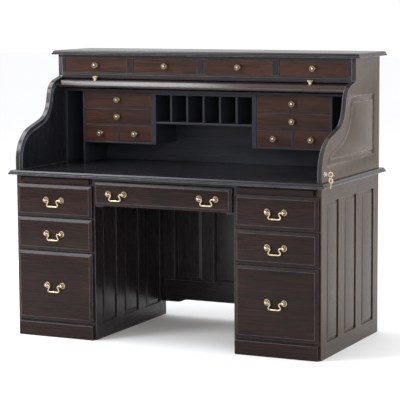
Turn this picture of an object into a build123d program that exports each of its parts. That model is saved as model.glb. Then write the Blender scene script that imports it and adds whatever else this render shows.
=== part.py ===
from build123d import *
import math
import os

# Roll top desk. Units mm, +Z up, +Y towards the back, origin on the floor under the middle.

# ---- driving dimensions ----
CARCASS_X = 738.0          # half width over the pedestals
FRONT_Y = -346.0           # carcass front
BACK_Y = 346.0             # carcass back
KNEE_X = 338.0             # half width of the kneehole
SIDE_T = 20.0              # pedestal side thickness
TOP_UNDER = 730.0          # underside of the desk top
DESK_Z = 750.0             # working surface
DESK_X = 762.0             # half width of the desk top
DESK_FRONT = -381.0
DESK_REAR = 379.0
FACE_T = 19.0              # overlay drawer front thickness
FACE_IN = 347.0            # overlay fronts, inner and outer edges
FACE_OUT = 728.0
BEVEL = 13.0               # width of the sloped border of a raised front
BEVEL_DEEP = 6.5
PLINTH_TOP = 68.0
PED_DRAWERS = {"top": (548.0, 690.0), "middle": (396.0, 540.0), "file": (76.0, 388.0)}
PED_BOXES = {"top": (555.0, 680.0), "middle": (403.0, 533.0), "file": (84.0, 381.0)}
PED_BOX_BACK = 250.0
BOX_X = (360.5, 715.5)     # drawer boxes, outer faces
BOX_WALL = 12.0
BOX_BOTTOM = 6.0
BOX_LIFT = 8.0             # bottom board above the lower edge of the sides
RAIL_DEEP = 22.0           # depth of the front rails and stiles
REAR_BOARD = 10.0          # thickness of the pedestal's back
RUNNER_W = 24.0
RUNNER_H = 12.0
FLOOR_Z = (64.0, 78.0)     # pedestal floor board
DIVIDERS = ((385.0, 399.0), (537.0, 551.0), (684.0, 695.0))
SLIDE_Z = (697.0, 721.0)   # pull-out writing slides
SLIDE_X = (358.0, 706.0)
CENTRE_Z = (608.0, 714.0)
CENTRE_X = 334.0
CENTRE_BOX_X = 311.0
SCALLOP_Z = 92.0           # kneehole panel: height of the raised middle, and of its feet
SCALLOP_LOW = 66.0

GAL_X = 741.0              # half width over the gallery sides
GAL_T = 22.0
GAL_IN = GAL_X - GAL_T
GAL_TOP = 1253.0
CASE_FRONT = 46.0          # front of the top drawer case
CASE_Z = 1153.0            # its underside
TOP_T = 20.0
TOP_X = 765.0
TOP_FRONT = 24.0
TOP_REAR = 376.0

# S curve of the gallery sides, in the YZ plane
S_FRONT = -349.0
S_RISE = 790.0             # top of the straight foot
S_R1 = 150.0               # lower swell
S_R2 = 105.0               # hollow
S_R3 = 80.0                # upper swell
S_A1 = 17.0                # slope between swell and hollow, degrees
S_A2 = 78.0                # slope between hollow and upper swell
S_A3 = 15.0                # slope of the last run
S_RUN1 = 99.3
S_RUN2 = 36.8

# tambour
PATH_IN = 16.0             # middle of the slats, in from the S edge
SLAT_T = 10.0
SLAT_PITCH = 20.0
SLATS_PER_STRIP = 4
STRIPS = 7
RAIL_TALL = 55.0
RAIL_T = 24.0
RAIL_SLOPE = (26.0, 11.0)  # long bevel on the outer foot: height and depth
PULL_LIFT = 27.0           # lower end of the finger pulls, above the rail's foot
KEEPER_Y = (13.0, 21.0)    # keeper plate in the rail's foot
RAIL_LEN = 2 * (GAL_IN - 1.5)
SLAT_LEN = 2 * (GAL_IN + 5.0)
FIRST_SLAT = 57.0
GROOVE_W = 12.6
GROOVE_DEEP = 7.5
RAIL_OPEN_Y = -5.0
# stowed strips: middle of the chord (y, z) and its slope in degrees
STOWED = [
    (96.5, 1131.0, 0.0),
    (181.0, 1131.0, 0.0),
    (264.5, 1127.0, -6.0),
    (316.0, 1078.0, -73.0),
    (324.0, 997.0, -90.0),
    (317.5, 916.0, -90.0),
    (321.0, 832.0, -90.0),
]

# pigeonhole unit
UNIT_FRONT = 64.0
UNIT_BACK = 280.0
UNIT_TOP = 1095.0
BANK_IN = 262.0
BANK_OUT = 614.0
BANK_Z = 852.0
ROWS = ((1010.0, 1084.0), (932.0, 1006.0), (852.0, 928.0))
HOLE_W = 72.0
HOLE_T = 10.0
HOLE_SHELF = 940.0

# brass
POST_GAP = 78.0
AXIS_OUT = 13.0            # bail pivot, out from the drawer face
BAIL_D = 5.6
BORE_D = 6.2
ROSE_D = 27.0
KNOB_D = 26.0

# lock in the right gallery side
LOCK_Y = -327.0
LOCK_Z = 787.0
BARREL_D = 15.6
BARREL_OUT = 10.0
BORE_LOCK = 16.0


def block(x0, x1, y0, y1, z0, z1):
    """A plain board between two corners."""
    box = Box(abs(x1 - x0), abs(y1 - y0), abs(z1 - z0))
    return Pos((x0 + x1) / 2, (y0 + y1) / 2, (z0 + z1) / 2) * box


def rod(start, direction, length, diameter):
    """A round bar from a point along a direction."""
    circle = Plane(origin=start, z_dir=direction) * Circle(diameter / 2)
    return extrude(circle, amount=length)


def tapered(x0, x1, z0, z1, y_base, y_top, inset):
    """A rectangle at y_base that shrinks by inset on every side to y_top."""
    middle_x, middle_z = (x0 + x1) / 2, (z0 + z1) / 2
    wide, tall = abs(x1 - x0), abs(z1 - z0)
    base = Plane(origin=(middle_x, y_base, middle_z), x_dir=(1, 0, 0), z_dir=(0, -1, 0))
    top = Plane(origin=(middle_x, y_top, middle_z), x_dir=(1, 0, 0), z_dir=(0, -1, 0))
    outline = base * Rectangle(wide, tall)
    field = top * Rectangle(wide - 2 * inset, tall - 2 * inset)
    return loft([outline, field])


def raised_front(x0, x1, z0, z1, y_back=FRONT_Y, thick=FACE_T):
    """Drawer front with a sloped border round a flat field."""
    y_face = y_back - thick
    step = y_face + BEVEL_DEEP
    board = block(x0, x1, step, y_back, z0, z1)
    field = tapered(x0, x1, z0, z1, step, y_face, BEVEL)
    return board + field


def spans(low, high, count, bar):
    """Equal openings between bars."""
    clear = (high - low - bar * (count + 1)) / count
    return [(low + bar + i * (clear + bar), low + bar + i * (clear + bar) + clear) for i in range(count)]


def framed(width_a, width_b, z0, z1, thick, openings):
    """Frame and raised panels, flat in the local XZ plane, face at y = 0 looking to -y."""
    frame = block(width_a, width_b, 0, thick, z0, z1)
    panels = []
    for a0, a1, b0, b1 in openings:
        frame -= block(a0, a1, -1, thick + 1, b0, b1)
        sheet = block(a0, a1, 6, thick - 4, b0, b1)
        field = tapered(a0 + 8, a1 - 8, b0 + 8, b1 - 8, 6, 2, 12)
        panels.append(sheet + field)
    return [frame] + panels


def turn_to_side(solids, x_face, facing):
    """Stand a local XZ panel on the plane x = x_face, looking to facing (+1 or -1) x."""
    if facing > 0:
        place = Location(Plane(origin=(x_face, 0, 0), x_dir=(0, 1, 0), z_dir=(0, 0, 1)))
    else:
        place = Location(Plane(origin=(x_face, 0, 0), x_dir=(0, -1, 0), z_dir=(0, 0, 1)))
    return [place * solid for solid in solids]


def turn_to_back(solids, y_face):
    """Stand a local XZ panel with its face looking to the back."""
    place = Location(Plane(origin=(0, y_face, 0), x_dir=(-1, 0, 0), z_dir=(0, 0, 1)))
    return [place * solid for solid in solids]


def mirrored(solids):
    return [mirror(solid, about=Plane.YZ) for solid in solids]


# ---- pedestals, drawn on the right and mirrored for the left ----
def pedestal_side_openings():
    return [(-286.0, -150.0, 68.0, 664.0), (-78.0, 62.0, 68.0, 664.0), (134.0, 282.0, 68.0, 664.0)]


def pedestal():
    outer = framed(FRONT_Y, BACK_Y, 0, TOP_UNDER, SIDE_T, pedestal_side_openings())
    inner_openings = [(-b, -a, c, d) for a, b, c, d in pedestal_side_openings()]
    inner = framed(-BACK_Y, -FRONT_Y, 0, TOP_UNDER, SIDE_T, inner_openings)
    solids = turn_to_side(outer, CARCASS_X, 1) + turn_to_side(inner, KNEE_X, -1)
    inside_a, inside_b = KNEE_X + SIDE_T, CARCASS_X - SIDE_T
    solids.append(block(FACE_IN, FACE_OUT, FRONT_Y - FACE_T + 3, FRONT_Y, 0, PLINTH_TOP - 8))
    plinth_cap = block(FACE_IN, FACE_OUT, FRONT_Y - FACE_T + 3, FRONT_Y, PLINTH_TOP - 8, PLINTH_TOP)
    front_edge = plinth_cap.edges().filter_by(Axis.X).sort_by(Axis.Y)[:2].sort_by(Axis.Z)[-1]
    solids.append(chamfer(front_edge, 7))
    inner_back = BACK_Y - REAR_BOARD
    solids.append(block(inside_a, inside_b, FRONT_Y, inner_back, *FLOOR_Z))
    for low, high in DIVIDERS:
        solids.append(block(inside_a, inside_b, FRONT_Y, FRONT_Y + RAIL_DEEP, low, high))
    heights = [(685.0, 698.5)]
    for low, high in PED_BOXES.values():
        heights.append((max(low - 0.5 - RUNNER_H, FLOOR_Z[1]), low - 0.5))
    for low, high in heights:
        for a, b in ((inside_a, inside_a + RUNNER_W), (inside_b - RUNNER_W, inside_b)):
            solids.append(block(a, b, FRONT_Y + RAIL_DEEP, inner_back, low, high))
    return solids + pedestal_back((inside_a + inside_b) / 2, (inside_b - inside_a) / 2)


def pedestal_back(middle, half):
    """Boarded back with a frame laid over it."""
    back = [block(-half, half, 4, REAR_BOARD, 0, TOP_UNDER)]
    for a, b, c, d in ((-half, -half + 50, 0, TOP_UNDER), (half - 50, half, 0, TOP_UNDER)):
        back.append(block(a, b, 0, 4, c, d))
    for c, d in ((0, 70), (340, 400), (TOP_UNDER - 60, TOP_UNDER)):
        back.append(block(-half + 50, half - 50, 0, 4, c, d))
    return [Pos(middle, 0, 0) * solid for solid in turn_to_back(back, BACK_Y)]


def rounded_top(half_x, y0, y1, z0, thick):
    """Board with a thumbnail edge: a full lower lip and a rounded upper edge set in from it."""
    lip = block(-half_x, half_x, y0, y1, z0, z0 + 0.42 * thick)
    lower = lip.edges().group_by(Axis.Z)[0]
    lip = chamfer(lower, 2.5)
    upper = block(-half_x + 4, half_x - 4, y0 + 4, y1 - 4, z0 + 0.42 * thick, z0 + thick)
    upper = fillet(upper.edges().group_by(Axis.Z)[-1], 0.5 * thick)
    return lip + upper


def modesty_panel():
    """Framed kneehole back with a scalloped lower edge."""
    front, thick = 326.0, 16.0
    low, high = SCALLOP_LOW, SCALLOP_Z
    halfway = (low + high) / 2
    frame = block(-KNEE_X, KNEE_X, 0, thick, low, TOP_UNDER)
    with BuildSketch(Plane.XZ) as scallop:
        with BuildLine():
            Spline((-268, low), (-240, halfway), (-212, high), tangents=((1, 0), (1, 0)))
            Line((-212, high), (212, high))
            Spline((212, high), (240, halfway), (268, low), tangents=((1, 0), (1, 0)))
            Polyline((268, low), (268, low - 16), (-268, low - 16), (-268, low))
        make_face()
    frame -= extrude(scallop.sketch, amount=-40, both=True)
    solids = []
    for a, b in spans(-KNEE_X, KNEE_X, 3, 56):
        frame -= block(a, b, -1, thick + 1, 172, 672)
        solids.append(block(a, b, 5, thick - 3, 172, 672) + tapered(a + 7, b - 7, 179, 665, 5, 2, 12))
    return [Pos(0, front, 0) * solid for solid in [frame] + solids]


def centre_frame():
    """Rail over the centre drawer and the two runners that carry it."""
    solids = [block(-KNEE_X, KNEE_X, FRONT_Y, FRONT_Y + RAIL_DEEP, CENTRE_Z[1] + 2, TOP_UNDER)]
    for side in (-1, 1):
        solids.append(block(side * KNEE_X, side * (KNEE_X - 40), FRONT_Y + 6, 200, 600, 617.5))
        start = FRONT_Y + RAIL_DEEP
        solids.append(block(side * KNEE_X, side * (KNEE_X - RUNNER_W), start, 200, 708, TOP_UNDER))
    return solids


# ---- the S curve ----
def s_points(inset):
    """Corner points and arc middles of the S edge, moved in by inset."""
    def unit(angle):
        return math.cos(math.radians(angle)), math.sin(math.radians(angle))

    c1 = (S_FRONT + S_R1, S_RISE)
    r1, r2, r3 = S_R1 - inset, S_R2 + inset, S_R3 - inset

    def on(centre, radius, angle, side):
        ty, tz = unit(angle)
        return centre[0] - side * tz * radius, centre[1] + side * ty * radius

    edge_end1 = on(c1, S_R1, S_A1, 1)
    ty, tz = unit(S_A1)
    edge_start2 = (edge_end1[0] + ty * S_RUN1, edge_end1[1] + tz * S_RUN1)
    c2 = (edge_start2[0] - tz * S_R2, edge_start2[1] + ty * S_R2)
    edge_end2 = on(c2, S_R2, S_A2, -1)
    ty, tz = unit(S_A2)
    edge_start3 = (edge_end2[0] + ty * S_RUN2, edge_end2[1] + tz * S_RUN2)
    c3 = (edge_start3[0] + tz * S_R3, edge_start3[1] - ty * S_R3)
    pieces = [
        (c1, r1, 90.0, S_A1, 1),
        (c2, r2, S_A1, S_A2, -1),
        (c3, r3, S_A2, S_A3, 1),
    ]
    marks = []
    for centre, radius, a, b, side in pieces:
        marks.append(tuple(on(centre, radius, t, side) for t in (a, (a + b) / 2, b)))
    return marks, pieces


def s_edges(inset, foot_z, end_y):
    """Edges of the S from foot_z up to end_y, as build123d lines in the YZ plane."""
    marks, pieces = s_points(inset)
    ty, tz = math.cos(math.radians(S_A3)), math.sin(math.radians(S_A3))
    last = marks[2][2]
    end = (end_y, last[1] + (end_y - last[0]) * tz / ty)
    foot = (marks[0][0][0], foot_z)
    lines = [
        Line(flat(foot), flat(marks[0][0])),
        ThreePointArc(flat(marks[0][0]), flat(marks[0][1]), flat(marks[0][2])),
        Line(flat(marks[0][2]), flat(marks[1][0])),
        ThreePointArc(flat(marks[1][0]), flat(marks[1][1]), flat(marks[1][2])),
        Line(flat(marks[1][2]), flat(marks[2][0])),
        ThreePointArc(flat(marks[2][0]), flat(marks[2][1]), flat(marks[2][2])),
        Line(flat(last), flat(end)),
    ]
    return lines, foot, end


def flat(point):
    return (0.0, point[0], point[1])


def face_of(lines):
    """A face bounded by a chain of lines."""
    return make_face(Wire([edge for line in lines for edge in line.edges()]))


def outline(lines, points):
    """Close a chain of lines with straight runs through the points, as a face in the YZ plane."""
    chain = list(lines)
    for a, b in zip(points, points[1:]):
        chain.append(Line(flat(a), flat(b)))
    return face_of(chain)


def side_outline():
    lines, foot, end = s_edges(0.0, DESK_Z, CASE_FRONT)
    return outline(lines, [end, (CASE_FRONT, GAL_TOP), (BACK_Y, GAL_TOP), (BACK_Y, DESK_Z), foot])


def panel_outline(inset, low, high, rear):
    """The sunk panel's outline: it follows the S, then runs square."""
    marks, pieces = s_points(inset)
    centre, radius = pieces[0][0], pieces[0][1]
    start = (centre[0] - math.sqrt(radius ** 2 - (low - centre[1]) ** 2), low)
    begin = math.degrees(math.asin((low - centre[1]) / radius))
    half = math.radians((begin + 90 - S_A1) / 2)
    between = (centre[0] - radius * math.cos(half), centre[1] + radius * math.sin(half))
    lines = [
        ThreePointArc(flat(start), flat(between), flat(marks[0][2])),
        Line(flat(marks[0][2]), flat(marks[1][0])),
        ThreePointArc(flat(marks[1][0]), flat(marks[1][1]), flat(marks[1][2])),
        Line(flat(marks[1][2]), flat(marks[2][0])),
    ]
    knee = marks[2][0]
    return outline(lines, [knee, (knee[0] + (high - knee[1]) * 0.5, high), (rear, high), (rear, low), start])


def groove_outline():
    """Track for the slat ends: the S run, then the wide pocket that holds the stowed slats."""
    outer, foot_a, end_a = s_edges(PATH_IN - GROOVE_W / 2, DESK_Z, CASE_FRONT + 6)
    inner, foot_b, end_b = s_edges(PATH_IN + GROOVE_W / 2, DESK_Z, CASE_FRONT + 6)
    chain = outer + [Line(flat(end_a), flat(end_b))] + inner + [Line(flat(foot_a), flat(foot_b))]
    return face_of(chain)


def pocket():
    """Wide recess behind the case front and down the back."""
    flat_part = block(0, GROOVE_DEEP, CASE_FRONT + 4, 334, 1106, 1150)
    down_part = block(0, GROOVE_DEEP, 294, 334, 784, 1150)
    return flat_part + down_part


def gallery_side():
    """Right side; outer face looks to +x."""
    board = Pos(GAL_IN, 0, 0) * extrude(side_outline(), amount=GAL_T, dir=(1, 0, 0))
    sunk = Pos(GAL_X - 5, 0, 0) * extrude(panel_outline(52, 818, 1088, 282), amount=6, dir=(1, 0, 0))
    field = Pos(GAL_X - 5, 0, 0) * extrude(panel_outline(72, 838, 1066, 262), amount=4, dir=(1, 0, 0))
    rim = field.faces().sort_by(Axis.X)[-1].edges()
    field = chamfer(rim, 3.2)
    track = Pos(GAL_IN, 0, 0) * extrude(groove_outline(), amount=GROOVE_DEEP, dir=(1, 0, 0))
    board = board - sunk - track - (Pos(GAL_IN, 0, 0) * pocket())
    return [board + field]


def gallery_right():
    side = gallery_side()[0]
    lock_hole = rod((GAL_IN - 1, LOCK_Y, LOCK_Z), (1, 0, 0), GAL_T + 2, BORE_LOCK)
    return [side - lock_hole]


def gallery_left():
    return mirrored(gallery_side())


def gallery_back():
    """Three framed panels closing the back of the gallery."""
    board = [block(-GAL_IN, GAL_IN, 5, 9, DESK_Z, GAL_TOP)]
    for c, d in ((DESK_Z, DESK_Z + 70), (GAL_TOP - 90, GAL_TOP)):
        board.append(block(-GAL_IN, GAL_IN, 0, 5, c, d))
    bars = ((-GAL_IN, -GAL_IN + 70), (-275, -205), (205, 275), (GAL_IN - 70, GAL_IN))
    for a, b in bars:
        board.append(block(a, b, 0, 5, DESK_Z + 70, GAL_TOP - 90))
    return turn_to_back(board, BACK_Y)


# ---- top drawer case ----
CASE_OPENINGS = ((-705.0, -379.0), (-346.0, -20.0), (20.0, 346.0), (379.0, 705.0))
CASE_DRAWER_Z = (1171.0, 1240.0)


def drawer_case():
    rear = BACK_Y - 9
    low, high = CASE_DRAWER_Z
    solids = [block(-GAL_IN, GAL_IN, CASE_FRONT, rear, CASE_Z, CASE_Z + 10)]
    solids.append(block(-GAL_IN, GAL_IN, CASE_FRONT, CASE_FRONT + RAIL_DEEP, CASE_Z + 10, low))
    solids.append(block(-GAL_IN, GAL_IN, CASE_FRONT, CASE_FRONT + RAIL_DEEP, high, GAL_TOP))
    stiles = ((-GAL_IN, -705.0), (-379.0, -346.0), (-20.0, 20.0), (346.0, 379.0), (705.0, GAL_IN))
    for a, b in stiles:
        solids.append(block(a, b, CASE_FRONT, CASE_FRONT + RAIL_DEEP, low, high))
        middle = (a + b) / 2
        solids.append(block(middle - 6, middle + 6, CASE_FRONT + RAIL_DEEP, rear, CASE_Z + 10, GAL_TOP))
    for a, b in CASE_OPENINGS:
        for c, d in ((a, a + 16), (b - 16, b)):
            solids.append(block(c, d, CASE_FRONT + RAIL_DEEP, rear, CASE_Z + 10, low + 1))
    return solids


def top_board():
    return [rounded_top(TOP_X, TOP_FRONT, TOP_REAR, GAL_TOP, TOP_T)]


# ---- pigeonhole unit ----
def pigeonhole_unit():
    y0, y1 = UNIT_FRONT, UNIT_BACK
    roof = UNIT_TOP - 11
    solids = [block(-GAL_IN, GAL_IN, y0, y1, roof, UNIT_TOP)]
    solids.append(block(-GAL_IN, GAL_IN, y1 - 5, y1, DESK_Z, roof))
    hole_end = 3 * HOLE_W + 2.5 * HOLE_T
    for side in (-1, 1):
        solids.append(block(side * GAL_IN, side * (GAL_IN - 12), y0, y1 - 5, DESK_Z, roof))
        solids.append(block(side * BANK_OUT, side * (BANK_OUT + 10), y0, y1 - 5, DESK_Z, roof))
        solids.append(block(side * hole_end, side * BANK_IN, y0, y1 - 5, BANK_Z - 8, roof))
        solids.append(block(side * BANK_IN, side * BANK_OUT, y0, y1 - 5, BANK_Z - 8, BANK_Z))
        for lower, upper in ((1006.0, 1010.0), (928.0, 932.0)):
            solids.append(block(side * BANK_IN, side * BANK_OUT, y0, y1 - 5, lower, upper))
        solids.append(block(side * 434, side * 442, y0, y1 - 5, BANK_Z, 928.0))
    solids.append(block(-hole_end, hole_end, y0, y1 - 5, HOLE_SHELF, HOLE_SHELF + 10))
    solids.append(block(-hole_end, hole_end, y0, y0 + 12, 1072, roof))
    for i in range(5):
        middle = (i - 2) * (HOLE_W + HOLE_T)
        a, b = middle - HOLE_T / 2, middle + HOLE_T / 2
        solids.append(block(a, b, y0 + 2, y1 - 5, HOLE_SHELF + 10, 1072))
        solids.append(block(a, b, y0 + 12, y1 - 5, 1072, roof))
    return solids


# ---- drawers ----
def drawer_box(x0, x1, y0, y1, z0, z1, wall, bottom, lift):
    """Two sides, a back and a bottom let in between them."""
    solids = [block(x0, x0 + wall, y0, y1, z0, z1), block(x1 - wall, x1, y0, y1, z0, z1)]
    solids.append(block(x0 + wall, x1 - wall, y1 - wall, y1, z0, z1 - 6))
    solids.append(block(x0 + wall, x1 - wall, y0, y1 - wall, z0 + lift, z0 + lift + bottom))
    return solids


def pedestal_drawer(name, side):
    low, high = PED_DRAWERS[name]
    box_low, box_high = PED_BOXES[name]
    front = raised_front(FACE_IN, FACE_OUT, low, high)
    place = (*BOX_X, FRONT_Y, PED_BOX_BACK, box_low, box_high)
    box = drawer_box(*place, BOX_WALL, BOX_BOTTOM, BOX_LIFT)
    solids = [front] + box
    return solids if side > 0 else mirrored(solids)


def centre_drawer():
    front = raised_front(-CENTRE_X, CENTRE_X, CENTRE_Z[0], CENTRE_Z[1])
    place = (-CENTRE_BOX_X, CENTRE_BOX_X, FRONT_Y, 150, 618, 706)
    return [front] + drawer_box(*place, BOX_WALL, BOX_BOTTOM, BOX_LIFT)


def writing_slide(side):
    """Flat board on runners with a proud front strip."""
    strip = block(SLIDE_X[0], SLIDE_X[1], FRONT_Y - 16, FRONT_Y, SLIDE_Z[0], SLIDE_Z[1])
    rim = strip.faces().sort_by(Axis.Y)[0].edges()
    strip = chamfer(rim, 3)
    board = block(361, 715, FRONT_Y, 180, SLIDE_Z[0] + 2, SLIDE_Z[1] - 6)
    solids = [strip, board]
    return solids if side > 0 else mirrored(solids)


def knob(x, y, z):
    """Turned brass knob on a rose, axis towards the front."""
    r = KNOB_D / 2
    with BuildSketch(Plane.XY) as profile:
        with BuildLine():
            Polyline((0, 0), (8.5, 0), (8.5, 2.0), (5.0, 3.5), (4.2, 8.0))
            head = [(4.2, 8.0), (r * 0.92, 12.5), (r, 16.0), (r * 0.8, 20.5), (0, 23.0)]
            Spline(*head, tangents=((0.3, 1), (-1, 0)))
            Line((0, 23.0), (0, 0))
        make_face()
    body = revolve(profile.sketch, axis=Axis.Y)
    return Pos(x, y, z) * Rot(180, 0, 0) * body


def case_drawer(index):
    a, b = CASE_OPENINGS[index]
    a, b = a + 1.5, b - 1.5
    low, high = CASE_DRAWER_Z
    low, high = low + 1.5, high - 1.5
    face = CASE_FRONT + 2
    front = block(a, b, face, face + 16, low, high)
    box = drawer_box(a, b, face + 16, 284, low, high - 4, 10, 5, 5)
    return [front] + box + [knob((a + b) / 2, face, (low + high) / 2)]


def unit_drawer(x0, x1, row):
    low, high = ROWS[row]
    a, b = x0 + 1, x1 - 1
    low, high = low + 1, high - 1
    face = UNIT_FRONT + 1
    front = block(a, b, face, face + 12, low, high)
    box = drawer_box(a, b, face + 12, 262, low, high - 4, 8, 4, 4)
    return [front] + box + [knob((a + b) / 2, face, (low + high) / 2)]


# ---- brass bails ----
def bail_places():
    face = FRONT_Y - FACE_T
    places = {}
    for side, word in ((-1, "left"), (1, "right")):
        middle = side * (FACE_IN + FACE_OUT) / 2
        for name, z in (("top", 622.0), ("middle", 471.0), ("file", 237.0)):
            places[f"bail_{word}_{name}"] = (middle, face - AXIS_OUT, z)
        places[f"bail_centre_{word}"] = (side * 221.0, face - AXIS_OUT, 663.0)
    return places


def posts(x, y, z):
    """Two cross-bored posts, each on a round rose, bail axis at (x, y, z)."""
    solids = []
    rose = ROSE_D / 2
    for side in (-1, 1):
        px = x + side * POST_GAP / 2
        with BuildSketch(Plane.XY) as profile:
            with BuildLine():
                Polyline((0, 0), (rose, 0), (rose, 1.4), (rose - 2.5, 3.2), (6.4, 3.8))
                Polyline((6.4, 3.8), (5.0, 6.0), (5.0, 8.0), (6.4, 9.0))
                Spline((6.4, 9.0), (6.8, 13.0), (5.2, 17.5), (0, 19.8), tangents=((0.2, 1), (-1, 0)))
                Line((0, 19.8), (0, 0))
            make_face()
        body = Pos(px, y + AXIS_OUT, z) * Rot(180, 0, 0) * revolve(profile.sketch, axis=Axis.Y)
        solids.append(body - rod((px - 12, y, z), (1, 0, 0), 24, BORE_D))
    return solids


def bail(x, y, z):
    """Swan-neck drop handle: pins through the posts, necks curling in, a straight grip."""
    end = POST_GAP / 2 + 3.5
    neck, foot, drop = 20.5, 29.0, 28.6
    corners = [(-end, 0, 0), (-neck, 0, 0), (-foot, 0, -drop), (foot, 0, -drop), (neck, 0, 0), (end, 0, 0)]
    with BuildLine() as route:
        FilletPolyline(*corners, radius=7.0)
    start = Plane(origin=corners[0], z_dir=(1, 0, 0))
    bar = sweep(start * Circle(BAIL_D / 2), path=route.wires()[0])
    return [Pos(x, y, z) * bar]


# ---- tambour ----
def path_at(s):
    """Point and slope on the slat path, s mm up from the desk top."""
    marks, pieces = s_points(PATH_IN)
    rest = s
    runs = [S_RISE - DESK_Z, S_RUN1, S_RUN2]
    heading = 90.0
    point = (S_FRONT + PATH_IN, DESK_Z)
    for i, (centre, radius, a, b, side) in enumerate(pieces):
        ty, tz = math.cos(math.radians(heading)), math.sin(math.radians(heading))
        if rest <= runs[i]:
            return point[0] + ty * rest, point[1] + tz * rest, heading
        rest -= runs[i]
        arc = radius * math.radians(abs(b - a))
        if rest <= arc:
            t = a + (b - a) * rest / arc
            ty, tz = math.cos(math.radians(t)), math.sin(math.radians(t))
            return centre[0] - side * tz * radius, centre[1] + side * ty * radius, t
        rest -= arc
        point, heading = marks[i][2], b
    ty, tz = math.cos(math.radians(heading)), math.sin(math.radians(heading))
    return point[0] + ty * rest, point[1] + tz * rest, heading


def strip_marks(index):
    """Slat boundaries of one strip when the roll top is shut."""
    first = FIRST_SLAT + index * SLATS_PER_STRIP * SLAT_PITCH
    return [path_at(first + k * SLAT_PITCH) for k in range(SLATS_PER_STRIP + 1)]


def shift(mark, out):
    """Point moved outwards, towards the front and up, from the path."""
    y, z, heading = mark
    t = math.radians(heading)
    return y - math.sin(t) * out, z + math.cos(t) * out


def slat(a, b):
    """One slat between two boundaries, rounded on its outer face."""
    ia, ib = shift(a, -SLAT_T / 2 + 1), shift(b, -SLAT_T / 2 + 1)
    oa, ob = shift(a, SLAT_T / 2), shift(b, SLAT_T / 2)
    inner = math.dist(ia, ib)
    outer = math.dist(oa, ob)
    wide = min(inner, outer, SLAT_PITCH) - 0.4
    my, mz = (ia[0] + ib[0]) / 2, (ia[1] + ib[1]) / 2
    ty, tz = (ib[0] - ia[0]) / inner, (ib[1] - ia[1]) / inner
    ny, nz = -tz, ty
    high = SLAT_T - 1

    def spot(u, v):
        return (0.0, my + ty * u + ny * v, mz + tz * u + nz * v)

    half = wide / 2
    lines = [
        Polyline(spot(-half + 2.2, high - 1.2), spot(-half, high - 4.0), spot(-half, 0), spot(half, 0),
                 spot(half, high - 4.0), spot(half - 2.2, high - 1.2)),
        ThreePointArc(spot(half - 2.2, high - 1.2), spot(0, high), spot(-half + 2.2, high - 1.2)),
    ]
    face = face_of(lines)
    return Pos(-SLAT_LEN / 2, 0, 0) * extrude(face, amount=SLAT_LEN, dir=(1, 0, 0))


def strip_closed(index):
    """Slats and their canvas, where they are when the roll top is shut."""
    marks = strip_marks(index)
    solids = [slat(a, b) for a, b in zip(marks, marks[1:])]
    backs = [shift(m, -SLAT_T / 2 + 1) for m in marks]
    under = [shift(m, -SLAT_T / 2 + 0.2) for m in marks]
    loop = [flat(p) for p in backs] + [flat(p) for p in reversed(under)]
    cloth = face_of([Polyline(*loop, close=True)])
    wide = SLAT_LEN - 24
    solids.append(Pos(-wide / 2, 0, 0) * extrude(cloth, amount=wide, dir=(1, 0, 0)))
    return solids


def strip_chord(index):
    """Middle of the chord and its slope, shut."""
    marks = strip_marks(index)
    a, b = marks[0], marks[-1]
    return (a[0] + b[0]) / 2, (a[1] + b[1]) / 2, math.degrees(math.atan2(b[1] - a[1], b[0] - a[0]))


def move_plan(solids, shut, stowed):
    """Turn and move solids in the YZ plane from one chord to another."""
    turn = stowed[2] - shut[2]
    place = Pos(0, stowed[0], stowed[1]) * Rot(turn, 0, 0) * Pos(0, -shut[0], -shut[1])
    return [place * solid for solid in solids]


def tambour_strip(index):
    return move_plan(strip_closed(index), strip_chord(index), STOWED[index])


def rail_closed_frame():
    """The rail's lower outer corner and heading when shut."""
    return S_FRONT + PATH_IN - SLAT_T / 2, DESK_Z + 0.8, 90.0


def rail_open_frame():
    """The same corner when the roll top is open, on the last run of the path."""
    marks, pieces = s_points(PATH_IN - SLAT_T / 2)
    last = marks[2][2]
    z = last[1] + (RAIL_OPEN_Y - last[0]) * math.tan(math.radians(S_A3))
    return RAIL_OPEN_Y, z, S_A3


def rail_place():
    y, z, heading = rail_open_frame()
    return Pos(0, y, z) * Rot(heading - 90, 0, 0)


def bolt_place():
    """Where the lock's bolt meets the shut rail: depth and height in the rail's own frame."""
    return LOCK_Y - rail_closed_frame()[0], LOCK_Z - rail_closed_frame()[1]


def lift_rail():
    """Bottom rail of the tambour, drawn shut (outer face at y = 0, foot at z = 0)."""
    bar = block(-RAIL_LEN / 2, RAIL_LEN / 2, 0, RAIL_T, 0, RAIL_TALL)
    edges = bar.edges().filter_by(Axis.X)
    head = edges.sort_by(Axis.Z)[-2:].sort_by(Axis.Y)[0]
    bar = fillet(head, 3)
    tall, deep = RAIL_SLOPE
    with BuildSketch(Plane.YZ) as corner:
        with BuildLine():
            Polyline((-1, tall + 1), (0, tall), (deep, 0), (deep, -1), (-1, -1), close=True)
        make_face()
    bar -= Pos(-RAIL_LEN / 2 - 1, 0, 0) * extrude(corner.sketch, amount=RAIL_LEN + 2, dir=(1, 0, 0))
    lock_side = RAIL_LEN / 2 - 14
    bar -= rod((lock_side, *bolt_place()), (1, 0, 0), 20, 9.0)
    bar -= block(lock_side - 32, lock_side - 2, KEEPER_Y[0] - 0.2, KEEPER_Y[1] + 0.2, -1, 2)
    return [rail_place() * bar]


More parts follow.
